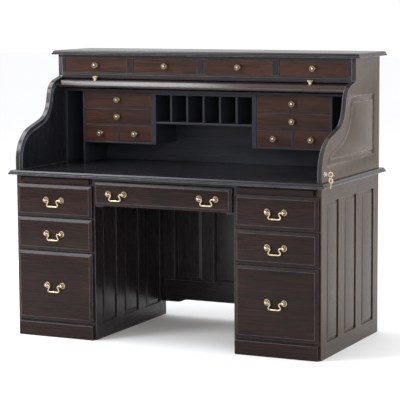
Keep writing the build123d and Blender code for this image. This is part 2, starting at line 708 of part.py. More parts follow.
def rail_fittings():
    """Two brass finger pulls and the lock's keeper plate."""
    solids = []
    for x in (-535.0, 535.0):
        with BuildSketch(Plane.YZ) as hook:
            with BuildLine():
                Polyline((0, 0), (0, 24), (-2.5, 24), (-2.5, 14))
                Spline((-2.5, 14), (-9, 9), (-15, 12.5), (-18, 17), tangents=((0, -1), (0, 1)))
                Spline((-18, 17), (-20, 12), (-14, 3.5), (-2.5, 2), tangents=((0, -1), (1, 0.2)))
                Polyline((-2.5, 2), (-2.5, 0), (0, 0))
            make_face()
        pull = Pos(x - 14, 0, PULL_LIFT) * extrude(hook.sketch, amount=28, dir=(1, 0, 0))
        solids.append(rail_place() * pull)
    keeper = block(RAIL_LEN / 2 - 45.8, RAIL_LEN / 2 - 16.2, *KEEPER_Y, 0.2, 2)
    solids.append(rail_place() * keeper)
    return solids


# ---- lock and keys ----
def lock_barrel():
    """Cylinder lock through the right gallery side."""
    barrel = rod((GAL_IN + 1, LOCK_Y, LOCK_Z), (1, 0, 0), GAL_T - 1 + BARREL_OUT, BARREL_D)
    collar = rod((GAL_X + 0.2, LOCK_Y, LOCK_Z), (1, 0, 0), 2.5, 21.0)
    lock = barrel + collar
    lip = lock.faces().sort_by(Axis.X)[-1].edges()
    lock = chamfer(lip, 1.0)
    lock -= rod((GAL_X - 6, LOCK_Y, LOCK_Z), (1, 0, 0), 30, 5.6)
    return [lock]


def key_shape(hole_d):
    """A key lying along x: shank from x = 0, round bow at the far end, flat in XZ."""
    shank = rod((0, 0, 0), (1, 0, 0), 24, 4.6)
    collar = rod((15.5, 0, 0), (1, 0, 0), 2.5, 7.0)
    centre = 33.0
    bow = Pos(centre, 0, 0) * Rot(90, 0, 0) * Cylinder(11.5, 2.6)
    bow -= Pos(centre, 0, 0) * Rot(90, 0, 0) * Cylinder(hole_d / 2, 6)
    return shank + collar + bow


def key():
    start = GAL_X - 4.0
    return [Pos(start, LOCK_Y, LOCK_Z) * key_shape(13.0)]


def spare_key():
    """Split ring through the first key's bow, with a second key hanging from it."""
    bow_x = GAL_X - 4.0 + 33.0
    ring_r = 10.0
    wire = 1.8
    ring_z = LOCK_Z - 6.5 + wire / 2 - ring_r + 0.6 + wire
    ring = Pos(bow_x, LOCK_Y, ring_z) * Rot(0, 90, 0) * Torus(ring_r, wire / 2)
    hang_z = ring_z - ring_r + wire / 2 - 4.2 - 33.0
    hang = Pos(bow_x, LOCK_Y, hang_z) * Rot(0, -90, 0) * key_shape(8.0)
    return [ring, hang]


# ---- build and write ----
def parts():
    found = {
        "left_pedestal": mirrored(pedestal()),
        "right_pedestal": pedestal(),
        "desk_top": [rounded_top(DESK_X, DESK_FRONT, DESK_REAR, TOP_UNDER, DESK_Z - TOP_UNDER)],
        "modesty_panel": modesty_panel(),
        "centre_frame": centre_frame(),
        "gallery_left": gallery_left(),
        "gallery_right": gallery_right(),
        "gallery_back": gallery_back(),
        "drawer_case": drawer_case(),
        "top_board": top_board(),
        "pigeonhole_unit": pigeonhole_unit(),
        "lock_barrel": lock_barrel(),
        "key": key(),
        "spare_key": spare_key(),
        "centre_drawer": centre_drawer(),
        "lift_rail": lift_rail(),
        "rail_fittings": rail_fittings(),
    }
    for side, word in ((-1, "left"), (1, "right")):
        found[f"writing_slide_{word}"] = writing_slide(side)
        for name in PED_DRAWERS:
            found[f"drawer_{word}_{name}"] = pedestal_drawer(name, side)
        rows = [(BANK_IN, BANK_OUT, 0, "upper"), (BANK_IN, BANK_OUT, 1, "lower")]
        rows += [(BANK_IN, 434.0, 2, "small_in"), (442.0, BANK_OUT, 2, "small_out")]
        for a, b, row, name in rows:
            x0, x1 = (a, b) if side > 0 else (-b, -a)
            found[f"bank_{word}_{name}"] = unit_drawer(x0, x1, row)
    for i in range(4):
        found[f"case_drawer_{i + 1}"] = case_drawer(i)
    centre_posts = []
    for name, place in bail_places().items():
        found[name] = bail(*place)
        if "centre" in name:
            centre_posts += posts(*place)
        else:
            found[name.replace("bail", "posts")] = posts(*place)
    found["posts_centre"] = centre_posts
    for i in range(STRIPS):
        found[f"tambour_{i + 1}"] = tambour_strip(i)
    return found


def main():
    os.makedirs("parts", exist_ok=True)
    for name, solids in parts().items():
        shape = Compound(label=name, children=[solid for item in solids for solid in item.solids()])
        export_step(shape, f"parts/{name}.step")
        size = shape.bounding_box()
        print(name, len(shape.solids()), [round(v, 1) for v in (*size.min, *size.max)])


if __name__ == "__main__":
    main()
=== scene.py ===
import math

import bmesh
import bpy
from mathutils import Matrix, Vector


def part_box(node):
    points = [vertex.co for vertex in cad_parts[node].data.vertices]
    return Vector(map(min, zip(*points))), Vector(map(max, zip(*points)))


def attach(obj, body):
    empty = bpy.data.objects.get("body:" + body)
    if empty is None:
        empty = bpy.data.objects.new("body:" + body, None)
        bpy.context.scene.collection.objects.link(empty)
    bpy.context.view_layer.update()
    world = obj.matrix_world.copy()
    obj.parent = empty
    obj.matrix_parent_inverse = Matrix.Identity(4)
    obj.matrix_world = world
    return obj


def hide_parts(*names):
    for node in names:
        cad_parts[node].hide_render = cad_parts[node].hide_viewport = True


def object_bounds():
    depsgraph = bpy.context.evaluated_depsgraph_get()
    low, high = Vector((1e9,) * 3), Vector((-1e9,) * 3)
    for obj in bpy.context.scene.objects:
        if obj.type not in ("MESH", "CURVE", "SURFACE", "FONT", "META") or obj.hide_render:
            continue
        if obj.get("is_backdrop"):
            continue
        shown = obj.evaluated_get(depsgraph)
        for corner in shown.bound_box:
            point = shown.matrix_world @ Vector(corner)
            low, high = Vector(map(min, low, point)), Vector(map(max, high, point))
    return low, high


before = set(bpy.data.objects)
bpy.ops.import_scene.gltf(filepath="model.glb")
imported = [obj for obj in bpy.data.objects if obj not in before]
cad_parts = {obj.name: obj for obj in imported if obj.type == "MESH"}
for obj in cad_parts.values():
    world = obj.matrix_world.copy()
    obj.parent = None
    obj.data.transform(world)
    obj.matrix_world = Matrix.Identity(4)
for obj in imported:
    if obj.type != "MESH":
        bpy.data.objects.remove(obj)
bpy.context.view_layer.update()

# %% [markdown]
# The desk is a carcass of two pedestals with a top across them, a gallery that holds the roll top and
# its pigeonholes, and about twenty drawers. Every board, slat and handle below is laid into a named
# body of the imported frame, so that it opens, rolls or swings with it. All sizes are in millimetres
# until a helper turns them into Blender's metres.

MM = 0.001

# %% [markdown]
# A cabinet maker thinks in boards: each one has a length along the grain, softened edges and its own
# place in the log. A board here is a small bmesh with two layers. "grain" holds the board's own
# coordinates with the grain first, so a wood pattern runs along it whichever way it lies, and
# "arris" marks the narrow faces of the softened edges, where lacquer wears thin and a painted
# highlight lightens them; on brass it marks the grooves that polish does not reach, and the
# undersides of the finger pulls, darkened there as painted shade. The bench below gathers boards
# into one piece.

# %% The bench
AXES = {"x": (0, 1, 2), "y": (1, 0, 2), "z": (2, 0, 1)}


def fresh():
    """An empty bmesh with the two layers that every piece carries."""
    bm = bmesh.new()
    bm.loops.layers.float_vector.new("grain")
    bm.faces.layers.float.new("arris")
    return bm


def ease(bm, edges, radius, segments=2):
    """Rounds edges and marks the new faces as arris."""
    mark = bm.faces.layers.float["arris"]
    made = bmesh.ops.bevel(bm, geom=list(edges), offset=radius * MM, segments=segments, profile=0.5,
                           affect="EDGES", material=-1, clamp_overlap=False)
    for face in made["faces"]:
        face[mark] = 1.0


def box_shape(x0, x1, y0, y1, z0, z1):
    """A plain block between two corners, in any order."""
    bm = fresh()
    low = Vector((min(x0, x1), min(y0, y1), min(z0, z1))) * MM
    high = Vector((max(x0, x1), max(y0, y1), max(z0, z1))) * MM
    bmesh.ops.create_cube(bm, size=1.0)
    bmesh.ops.scale(bm, vec=high - low, verts=bm.verts)
    bmesh.ops.translate(bm, vec=(low + high) / 2, verts=bm.verts)
    return bm


def facing(bm, direction):
    """The largest face that looks in a direction."""
    wanted = Vector(direction)
    return max((f for f in bm.faces if f.normal.dot(wanted) > 0.99), key=lambda f: f.calc_area())


class Bench:
    """Boards laid together into one piece, each with its own run of grain."""

    def __init__(self):
        self.bm = fresh()
        self.count = 0

    def lay(self, bm, along="x"):
        """Takes a finished board, gives it its grain and adds it to the piece."""
        a, b, c = AXES[along]
        self.count += 1
        start = Vector((self.count * 1.731 % 7, self.count * 0.613 % 5, self.count * 0.377 % 3))
        layer = bm.loops.layers.float_vector["grain"]
        for face in bm.faces:
            for loop in face.loops:
                co = loop.vert.co
                loop[layer] = Vector((co[a], co[b], co[c])) + start
        mesh = bpy.data.meshes.new("board")
        bm.to_mesh(mesh)
        bm.free()
        self.bm.from_mesh(mesh)
        bpy.data.meshes.remove(mesh)

    def plank(self, x0, x1, y0, y1, z0, z1, along="x", soft=0.9):
        """A sawn board with softened edges."""
        bm = box_shape(x0, x1, y0, y1, z0, z1)
        ease(bm, bm.edges, soft)
        self.lay(bm, along)

    def fielded(self, corners, out, flat, border, rise, along="x", soft=0.8):
        """A board whose outer face climbs a sloped border to a raised field."""
        bm = box_shape(*corners)
        rim = list(bm.edges)
        face = facing(bm, out)
        if flat:
            bmesh.ops.inset_region(bm, faces=[face], thickness=flat * MM, use_even_offset=True)
        bmesh.ops.inset_region(bm, faces=[face], thickness=border * MM, depth=rise * MM,
                               use_even_offset=True)
        ease(bm, rim + list(face.edges), soft)
        self.lay(bm, along)

    def finish(self, name, body, material, slot, *nodes, smooth=14):
        """Turns the bench into an object that rides on a body and stands for its CAD nodes."""
        mesh = bpy.data.meshes.new(name)
        self.bm.to_mesh(mesh)
        self.bm.free()
        return place_mesh(mesh, name, body, material, slot, *nodes, smooth=smooth)


def place_mesh(mesh, name, body, material, slot, *nodes, smooth=14):
    """Common ending for every piece: object, finish, smooth shading and body; slot is not used."""
    piece = bpy.data.objects.new(name, mesh)
    bpy.context.scene.collection.objects.link(piece)
    mesh.materials.clear()
    mesh.materials.append(material)
    mesh.shade_smooth()
    mesh.set_sharp_from_angle(angle=math.radians(smooth))
    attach(piece, body)
    if nodes:
        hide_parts(*nodes)
    return piece


# %% [markdown]
# Shader maths reads better as a formula than as a row of nodes. The small class below wraps an
# output socket so that +, - and * add Math nodes, and the tree class makes any other node from
# its type, its settings and its inputs.

# %% Sockets and shader trees
class Value:
    """A number that varies over the surface."""

    def __init__(self, tree, socket):
        self.tree, self.socket = tree, socket

    def combine(self, operation, a, b):
        return self.tree.node("ShaderNodeMath", {"operation": operation}, {0: a, 1: b})

    def __add__(self, other):
        return self.combine("ADD", self, other)

    def __radd__(self, other):
        return self.combine("ADD", other, self)

    def __sub__(self, other):
        return self.combine("SUBTRACT", self, other)

    def __rsub__(self, other):
        return self.combine("SUBTRACT", other, self)

    def __mul__(self, other):
        return self.combine("MULTIPLY", self, other)

    def __rmul__(self, other):
        return self.combine("MULTIPLY", other, self)


class Tree:
    """A material under construction."""

    def __init__(self, name):
        self.material = bpy.data.materials.new(name)
        self.material.use_nodes = True
        self.tree = self.material.node_tree
        self.shader = self.tree.nodes["Principled BSDF"]

    def node(self, kind, settings=None, inputs=None, output=0):
        """Makes a node, sets it, then fills or links its inputs."""
        node = self.tree.nodes.new(kind)
        for key, value in (settings or {}).items():
            setattr(node, key, value)
        for key, value in (inputs or {}).items():
            if isinstance(value, Value):
                self.tree.links.new(value.socket, node.inputs[key])
            else:
                node.inputs[key].default_value = value
        return Value(self, node.outputs[output])

    def attribute(self, name, output):
        return self.node("ShaderNodeAttribute", {"attribute_name": name}, output=output)

    def stretch(self, vector, scale):
        return self.node("ShaderNodeVectorMath", {"operation": "MULTIPLY"}, {0: vector, 1: scale})

    def noise(self, vector, scale=1.0, detail=3.0, rough=0.5, distortion=0.0):
        return self.node("ShaderNodeTexNoise", {}, {"Vector": vector, "Scale": scale, "Detail": detail,
                                                    "Roughness": rough, "Distortion": distortion})

    def between(self, value, low, high, to_low=0.0, to_high=1.0):
        """Spreads low..high smoothly to another range."""
        return self.node("ShaderNodeMapRange", {"interpolation_type": "SMOOTHSTEP"},
                         {"Value": value, "From Min": low, "From Max": high,
                          "To Min": to_low, "To Max": to_high})

    def blend(self, factor, a, b):
        """Mix of two colours."""
        full = [v if isinstance(v, Value) else (*v, 1.0) for v in (a, b)]
        return self.node("ShaderNodeMix", {"data_type": "RGBA"}, {0: factor, 6: full[0], 7: full[1]},
                         output=2)

    def feed(self, **sockets):
        """Sets or links the shader's own sockets, named with _ for a space."""
        for key, value in sockets.items():
            socket = self.shader.inputs[key.replace("_", " ")]
            if isinstance(value, Value):
                self.tree.links.new(value.socket, socket)
            else:
                socket.default_value = value

    def bump(self, height, strength, distance):
        return self.node("ShaderNodeBump", {}, {"Height": height, "Strength": strength,
                                                "Distance": distance})


# %% [markdown]
# Mahogany under a dark stain shows three scales of figure: broad ribbons a few centimetres wide,
# fine streaks of a few millimetres, and short open pores that stay darker than the wood. Satin
# lacquer lies over it, a little uneven from rubbing, and the arrises are lighter: partly thinner
# stain, partly a painted highlight in a cool grey that stands in for the light the rounded edges
# catch. All three scales are the same noise, stretched along the grain by different amounts.

# %% Mahogany and other woods
def wood(name, dark, middle, light, pore, worn_and_highlight, rough, gloss, relief=0.35):
    """Three colours of figure, the colour of the pores, that of the edges (wear and a painted
    highlight), and the finish.
    """
    tree = Tree(name)
    grain = tree.attribute("grain", 1)
    arris = tree.attribute("arris", 2)
    bend = tree.noise(tree.stretch(grain, (2.2, 5.0, 5.0)), detail=2.0)
    wavy = tree.node("ShaderNodeCombineXYZ", {}, {1: bend * 0.02, 2: bend * 0.012})
    run = tree.node("ShaderNodeVectorMath", {"operation": "ADD"}, {0: grain, 1: wavy})
    ribbons = tree.noise(tree.stretch(run, (1.6, 34.0, 34.0)), detail=3.0, rough=0.55)
    streaks = tree.noise(tree.stretch(run, (9.0, 310.0, 310.0)), detail=3.0, rough=0.6)
    pores = tree.noise(tree.stretch(run, (75.0, 1500.0, 1500.0)), detail=1.0)
    clouds = tree.noise(grain, scale=3.1, detail=2.0)
    broad = tree.between(ribbons, 0.34, 0.66)
    fine = tree.between(streaks, 0.36, 0.68)
    open_pore = tree.between(pores, 0.60, 0.72)
    base = tree.blend(broad * 0.85, dark, middle)
    base = tree.blend(fine * 0.7 * tree.between(clouds, 0.3, 0.7, 0.30, 1.0), base, light)
    base = tree.blend(open_pore * 0.7, base, pore)
    # The arris faces take the edge colour: partly wear where the stain is thin, partly a painted
    # highlight for the light a rounded edge catches.
    rubbed = tree.noise(grain, scale=24.0, detail=3.0)
    edge = arris * tree.between(rubbed, 0.35, 0.62, 0.5, 1.0)
    colour = tree.blend(edge, base, worn_and_highlight)
    polish = tree.noise(grain, scale=7.0, detail=4.0, rough=0.6)
    roughness = rough + (polish - 0.5) * 0.12 + open_pore * 0.10 + (fine - 0.5) * 0.04
    height = (1.0 - open_pore) * 0.6 + fine * 0.4 + polish * 0.5
    tree.feed(Base_Color=colour, Roughness=roughness, Specular_IOR_Level=gloss,
              Normal=tree.bump(height, relief, 0.00012))
    return tree.material


# Carcass mahogany is greyed and cooled from its red brown as a painted cool cast of shade, and its grey
# violet edge colour is a painted highlight.
MAHOGANY = wood("mahogany", (0.0075, 0.0058, 0.0064), (0.0135, 0.0100, 0.0108),
                (0.0250, 0.0172, 0.0172), (0.0030, 0.0022, 0.0023),
                (0.125, 0.110, 0.112), rough=0.27, gloss=0.28, relief=0.25)
# Outer sides: the carcass wood made lighter, browner and warmer, a painted lit side for faces that look
# out into the light.
LIT_SIDES = wood("lit_side_mahogany", (0.0185, 0.0098, 0.0050), (0.034, 0.0182, 0.0088),
             (0.058, 0.033, 0.0165), (0.0085, 0.0055, 0.003),
             (0.140, 0.112, 0.095), rough=0.27, gloss=0.25)
FRONTS = wood("drawer_fronts", (0.0052, 0.0023, 0.0020), (0.0125, 0.0047, 0.0037),
              (0.034, 0.0132, 0.0090), (0.0025, 0.0013, 0.0012),
              (0.105, 0.092, 0.098), rough=0.28, gloss=0.17)
# Small drawer fronts: the front wood made lighter and redder, painted as lit, because they sit high
# where more light falls.
LIT_SMALL_FRONTS = wood("lit_small_fronts", (0.0140, 0.0048, 0.0032), (0.040, 0.0145, 0.0088),
                    (0.088, 0.036, 0.0210), (0.0045, 0.0020, 0.0015),
                    (0.085, 0.055, 0.045), rough=0.36, gloss=0.18)
TAMBOUR = wood("tambour_mahogany", (0.0100, 0.0052, 0.0046), (0.0235, 0.0108, 0.0090),
               (0.050, 0.0235, 0.0175), (0.0035, 0.0020, 0.0018),
               (0.130, 0.092, 0.080), rough=0.24, gloss=0.48, relief=0.2)
# Writing surface: cooled toward blue as a painted cool cast of the shade and reflections on the desk
# top.
WRITING = wood("writing_top", (0.0088, 0.0092, 0.0120), (0.0135, 0.0133, 0.0172),
               (0.0195, 0.0180, 0.0210), (0.0045, 0.004, 0.004),
               (0.110, 0.106, 0.115), rough=0.20, gloss=0.33, relief=0.15)
# Inner gallery wood: cooled toward blue as painted shade, with very pale edges as painted highlights
# along the S curves.
SCROLL = wood("scroll_mahogany", (0.0110, 0.0125, 0.0170), (0.0180, 0.0190, 0.0245),
              (0.027, 0.0265, 0.0320), (0.0055, 0.0055, 0.0065),
              (0.190, 0.192, 0.205), rough=0.25, gloss=0.30, relief=0.2)
# Pigeonhole wood: lifted and cooled toward blue, painting the cool fill light in the shaded interior;
# its edges stay dark.
INSIDE = wood("inside_mahogany", (0.0150, 0.0170, 0.0235), (0.0250, 0.0265, 0.0345),
              (0.037, 0.0365, 0.044), (0.0075, 0.0075, 0.009),
              (0.030, 0.033, 0.042), rough=0.33, gloss=0.16)
PALE = wood("pale_wood", (0.33, 0.20, 0.10), (0.45, 0.29, 0.155),
            (0.56, 0.38, 0.21), (0.20, 0.11, 0.05),
            (0.60, 0.43, 0.26), rough=0.52, gloss=0.4)
print("woods made")

# %% [markdown]
# The handles are lacquered brass. Cast brass has a slightly rippled skin, goes brown where fingers
# and polish do not reach, and is scratched in fine short lines. The same dark brown is painted on
# the undersides of the finger pulls' hooks as painted shade. The lock cylinder is satin nickel,
# which is the same idea without the colour. Both patterns lie on Object coordinates, because the
# castings have no grain.

# %% Metals and canvas
def metal(name, bright, dull, rough, ripple):
    tree = Tree(name)
    spot = tree.node("ShaderNodeTexCoord", output=3)
    patina = tree.between(tree.noise(spot, scale=90.0, detail=4.0, rough=0.62), 0.42, 0.75)
    scratch = tree.between(tree.noise(tree.stretch(spot, (900.0, 900.0, 150.0)), detail=2.0), 0.5, 0.8)
    skin = tree.noise(spot, scale=420.0, detail=2.0)
    # Marked faces go dark brown: patina in turned grooves, and painted shade under the finger pulls.
    groove = tree.attribute("arris", 2) * tree.between(patina, 0.0, 1.0, 0.75, 0.95)
    polished = tree.blend(patina * 0.75, bright, dull)
    tree.feed(Base_Color=tree.blend(groove, polished, tuple(v * 0.22 for v in dull)), Metallic=1.0,
              Roughness=rough + patina * 0.16 + scratch * 0.08 + groove * 0.2,
              Normal=tree.bump(skin * 0.6 + scratch * 0.4, ripple, 0.0002))
    return tree.material


def woven(name, light, dark):
    tree = Tree(name)
    spot = tree.node("ShaderNodeTexCoord", output=3)
    warp = tree.node("ShaderNodeTexWave", {"bands_direction": "X"}, {"Vector": spot, "Scale": 420.0,
                                                                     "Distortion": 0.6})
    weft = tree.node("ShaderNodeTexWave", {"bands_direction": "Z"}, {"Vector": spot, "Scale": 420.0,
                                                                     "Distortion": 0.6})
    wear = tree.noise(spot, scale=14.0, detail=3.0)
    thread = warp * 0.5 + weft * 0.5
    tree.feed(Base_Color=tree.blend(thread * 0.6 + wear * 0.4, dark, light), Roughness=0.9,
              Normal=tree.bump(thread, 0.5, 0.0003))
    return tree.material


BRASS = metal("brass", (0.66, 0.54, 0.35), (0.27, 0.20, 0.11), 0.27, 0.25)
NICKEL = metal("nickel", (0.74, 0.73, 0.70), (0.42, 0.40, 0.37), 0.22, 0.15)
CANVAS = woven("canvas", (0.30, 0.23, 0.15), (0.13, 0.095, 0.06))
print("metals made")

# %% [markdown]
# Each pedestal is a box of frame and panel work: four stiles and two rails hold three tall raised
# panels on either side, so the wide wood can move without splitting. The front carries a plinth
# with a sloped top, and thin rails between the drawers. Stiles and rails are laid as separate
# boards, which turns the grain at each joint as in the real frame. The outer side is a piece of its
# own in a lighter, browner colour that paints it as lit; the dark plinth is a piece of its own too,
# and a thin strip under the top closes the gap over the slide.

# %% Frame and panel work
FRONT, BACK = -346, 346
KNEE_FACE, OUTER_FACE, SIDE_THICK = 338, 738, 20
ROOM = (KNEE_FACE + SIDE_THICK, OUTER_FACE - SIDE_THICK)
STILES = ((FRONT, -286), (-150, -78), (62, 134), (282, BACK))
FIELDS = ((-286, -150), (-78, 62), (134, 282))
RAILS = (68, 664)
TOP_UNDER = 730


def side_frame(bench, face_x, out):
    """One framed side; its face is at face_x and looks along out (+1 or -1) on x."""
    back_x = face_x - out * SIDE_THICK
    for i, (y0, y1) in enumerate(STILES):
        z0, z1 = (0, TOP_UNDER) if i in (0, 3) else RAILS
        bench.plank(back_x, face_x, y0, y1, z0, z1, "z", 0.8)
    for z0, z1 in ((0, RAILS[0]), (RAILS[1], TOP_UNDER)):
        bench.plank(back_x, face_x, STILES[0][1], STILES[3][0], z0, z1, "y", 0.8)
    for y0, y1 in FIELDS:
        corners = (face_x - out * 16, face_x - out * 6, y0, y1, *RAILS)
        bench.fielded(corners, (out, 0, 0), 8, 12, 4, "z", 0.5)


def pedestal_back(bench, x0, x1):
    """Boarded back under a light frame."""
    board, frame_y, stile = BACK - 10, BACK - 4, 50
    bench.plank(x0, x1, board, frame_y, 0, TOP_UNDER, "z")
    low, high = min(x0, x1), max(x0, x1)
    for a, b in ((low, low + stile), (high - stile, high)):
        bench.plank(a, b, frame_y, BACK, 0, TOP_UNDER, "z")
    for z0, z1 in ((0, 70), (340, 400), (670, TOP_UNDER)):
        bench.plank(low + stile, high - stile, frame_y, BACK, z0, z1, "x")


def pedestal(name, side):
    outer = Bench()
    side_frame(outer, side * OUTER_FACE, side)
    # The outer side takes the lighter, browner side colour, painted as lit.
    outer.finish(name + "_outer_side", "root", LIT_SIDES, "mahogany", name)
    bench = Bench()
    side_frame(bench, side * KNEE_FACE, -side)
    plinth = box_shape(side * 347, side * 728, FRONT - 16, FRONT, 0, RAILS[0])
    top_edge = facing(plinth, (0, 0, 1)).edges
    crest = [e for e in top_edge if all(v.co.y < (FRONT - 15) * MM for v in e.verts)]
    bmesh.ops.bevel(plinth, geom=crest, offset=7 * MM, segments=1, profile=0.5, affect="EDGES",
                    material=-1)
    ease(plinth, [e for e in plinth.edges if e.calc_face_angle(0) > 0.5], 0.7)
    foot = Bench()
    foot.lay(plinth, "x")
    foot.finish(name + "_plinth", "root", FRONTS, "mahogany", name)
    rail_back, back_board, runner = FRONT + 22, BACK - 10, 24
    left, right = ROOM
    bench.plank(side * left, side * right, FRONT, back_board, 64, 78, "x")
    for z0, z1 in ((385, 399), (537, 551), (684, 695)):
        bench.plank(side * left, side * right, FRONT, rail_back, z0, z1, "x")
    bench.plank(side * (left + 1), side * (right - 1), FRONT - 10, FRONT + 16, 723, TOP_UNDER + 0.5,
                "x", 0.5)
    for z0, z1 in ((685, 698.5), (78, 83.5), (390.5, 402.5), (542.5, 554.5)):
        for x0, x1 in ((left, left + runner), (right - runner, right)):
            bench.plank(side * x0, side * x1, rail_back, back_board, z0, z1, "y")
    pedestal_back(bench, side * left, side * right)
    bench.finish(name + "_boards", "root", MAHOGANY, "mahogany", name)
    print(name, bench.count, "boards")


pedestal("left_pedestal", -1)
pedestal("right_pedestal", 1)

# %% [markdown]
# The desk top and the top board have a thumbnail edge: a rounded upper part set in from a thin
# lower lip. Planing it on solid wood leaves two long highlights, one on the round and one on the
# lip. Two boards are stacked, and only the top edges of the upper one get the wide rounding.

# %% Moulded tops
def moulded(name, half_x, y0, y1, z0, material, slot):
    lip_top = z0 + 8.4
    bench = Bench()
    lip = box_shape(-half_x, half_x, y0, y1, z0, lip_top)
    under = [e for e in lip.edges if all(v.co.z < (z0 + 1) * MM for v in e.verts)]
    ease(lip, under, 2.4, 2)
    ease(lip, [e for e in lip.edges if all(v.co.z > (lip_top - 1) * MM for v in e.verts)], 1.0)
    bench.lay(lip, "x")
    upper = box_shape(-half_x + 4, half_x - 4, y0 + 4, y1 - 4, lip_top - 0.5, z0 + 20)
    crown = [e for e in upper.edges if all(v.co.z > (z0 + 19) * MM for v in e.verts)]
    bmesh.ops.bevel(upper, geom=crown, offset=9.5 * MM, segments=6, profile=0.5, affect="EDGES",
                    material=-1)
    bench.lay(upper, "x")
    bench.finish(name + "_boards", "root", material, slot, name, smooth=17)


moulded("desk_top", 762, -381, 379, 730, WRITING, "mahogany")
moulded("top_board", 765, 24, 376, 1253, MAHOGANY, "mahogany")

# %% [markdown]
# The kneehole is closed at the back by a framed modesty panel. Its bottom rail is cut to a shallow
# scallop, higher in the middle, with an ogee at each end. The rail's outline is walked point by
# point with short arcs, filled, and given its thickness by an extrusion.

# %% Outlines walked on a plane
class Walk:
    """Walks an outline in the plane across one axis and fills it to a board."""

    def __init__(self, u, v, heading, flat="x", level=0.0):
        self.flat, self.level = flat, level
        self.bm = fresh()
        self.last = self.bm.verts.new(self.spot(u, v))
        self.at, self.heading = (u, v), heading

    def spot(self, u, v):
        """Point of the plane as a point in space, in metres."""
        if self.flat == "x":
            return Vector((self.level, u, v)) * MM
        return Vector((u, self.level, v)) * MM

    def to(self, u, v):
        """Straight run to a point."""
        new = self.bm.verts.new(self.spot(u, v))
        self.bm.edges.new((self.last, new))
        self.heading = math.degrees(math.atan2(v - self.at[1], u - self.at[0]))
        self.last, self.at = new, (u, v)

    def turn(self, radius, degrees, steps=10):
        """Arc to the left for positive degrees, to the right for negative."""
        sign = 1 if degrees > 0 else -1
        t = math.radians(self.heading)
        cu = self.at[0] - sign * radius * math.sin(t)
        cv = self.at[1] + sign * radius * math.cos(t)
        axis = (1, 0, 0) if self.flat == "x" else (0, -1, 0)
        made = bmesh.ops.spin(self.bm, geom=[self.last], cent=self.spot(cu, cv), axis=axis,
                              dvec=(0, 0, 0), angle=math.radians(degrees), steps=steps, use_merge=False)
        self.last = [g for g in made["geom_last"] if isinstance(g, bmesh.types.BMVert)][0]
        self.heading += degrees
        co = self.last.co / MM
        self.at = (co.y, co.z) if self.flat == "x" else (co.x, co.z)

    def board(self, thickness):
        """Fills the outline and extrudes it along the flat axis, in millimetres."""
        bmesh.ops.remove_doubles(self.bm, verts=self.bm.verts, dist=1e-6)
        bmesh.ops.contextual_create(self.bm, geom=list(self.bm.edges))
        made = bmesh.ops.extrude_face_region(self.bm, geom=list(self.bm.faces))
        moved = [g for g in made["geom"] if isinstance(g, bmesh.types.BMVert)]
        way = Vector((1, 0, 0)) if self.flat == "x" else Vector((0, 1, 0))
        bmesh.ops.translate(self.bm, vec=way * thickness * MM, verts=moved)
        bmesh.ops.recalc_face_normals(self.bm, faces=self.bm.faces)
        return self.bm


# %% Kneehole back and centre rail
MODESTY_FRONT, MODESTY_BACK = 326, 342
FOOT_LOW, FOOT_HIGH, HEAD_LOW = 66, 172, 672
ogee = ((60, 26), (72, -26))
modesty = Bench()
foot = Walk(-KNEE_FACE, FOOT_LOW, 0, flat="y", level=MODESTY_FRONT)
foot.to(-268, FOOT_LOW)
for radius, degrees in ogee:
    foot.turn(radius, degrees, 6)
scallop_top = foot.at[1]
foot.to(-foot.at[0], scallop_top)
foot.heading = 0
for radius, degrees in reversed(ogee):
    foot.turn(radius, degrees, 6)
foot.to(KNEE_FACE, foot.at[1])
foot.to(KNEE_FACE, FOOT_HIGH)
foot.to(-KNEE_FACE, FOOT_HIGH)
foot.to(-KNEE_FACE, FOOT_LOW)
rail = foot.board(MODESTY_BACK - MODESTY_FRONT)
ease(rail, [e for e in rail.edges if e.calc_face_angle(0) > 0.6], 0.7)
modesty.lay(rail, "x")
print("scallop", round(scallop_top, 1))
modesty.plank(-KNEE_FACE, KNEE_FACE, MODESTY_FRONT, MODESTY_BACK, HEAD_LOW, TOP_UNDER, "x")
stile = 56
clear = (2 * KNEE_FACE - 4 * stile) / 3
for i in range(4):
    start = -KNEE_FACE + i * (stile + clear)
    modesty.plank(start, start + stile, MODESTY_FRONT, MODESTY_BACK, FOOT_HIGH, HEAD_LOW, "z")
for i in range(3):
    start = -KNEE_FACE + stile + i * (stile + clear)
    corners = (start, start + clear, MODESTY_FRONT + 5, MODESTY_BACK - 3, FOOT_HIGH, HEAD_LOW)
    modesty.fielded(corners, (0, -1, 0), 7, 12, 3, "z", 0.5)
modesty.finish("modesty_boards", "root", MAHOGANY, "mahogany", "modesty_panel")

centre = Bench()
centre.plank(-KNEE_FACE, KNEE_FACE, FRONT, FRONT + 22, 716, TOP_UNDER, "x")
for side in (-1, 1):
    centre.plank(side * KNEE_FACE, side * (KNEE_FACE - 40), -340, 200, 600, 617.5, "y")
    centre.plank(side * KNEE_FACE, side * (KNEE_FACE - 24), FRONT + 22, 200, 708, TOP_UNDER, "y")
centre.finish("centre_frame_boards", "root", MAHOGANY, "mahogany", "centre_frame")

# %% [markdown]
# The gallery sides follow the S of the roll top: a swell at the foot, a hollow, and a tighter
# swell under the drawer case. On the real desk the curve is sawn and spokeshaved, then the slat
# track is routed into the inner face and the raised panel is cut outside. The frame already holds
# that board exactly, so a merged copy of it is used. Its edges are softened and it is cut in two
# through its thickness to take two colours of the same wood: a near black, cool inner part as
# painted shade, with pale edges as painted highlight, and a browner outer part painted as lit.

# %% Gallery sides from the frame
LIT_SHADE_SPLIT = 734.2


def merged_copy(node):
    """The frame's own mesh of a node, with its doubled vertices merged."""
    bm = fresh()
    bm.from_mesh(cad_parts[node].data)
    bmesh.ops.remove_doubles(bm, verts=bm.verts, dist=2e-6)
    return bm


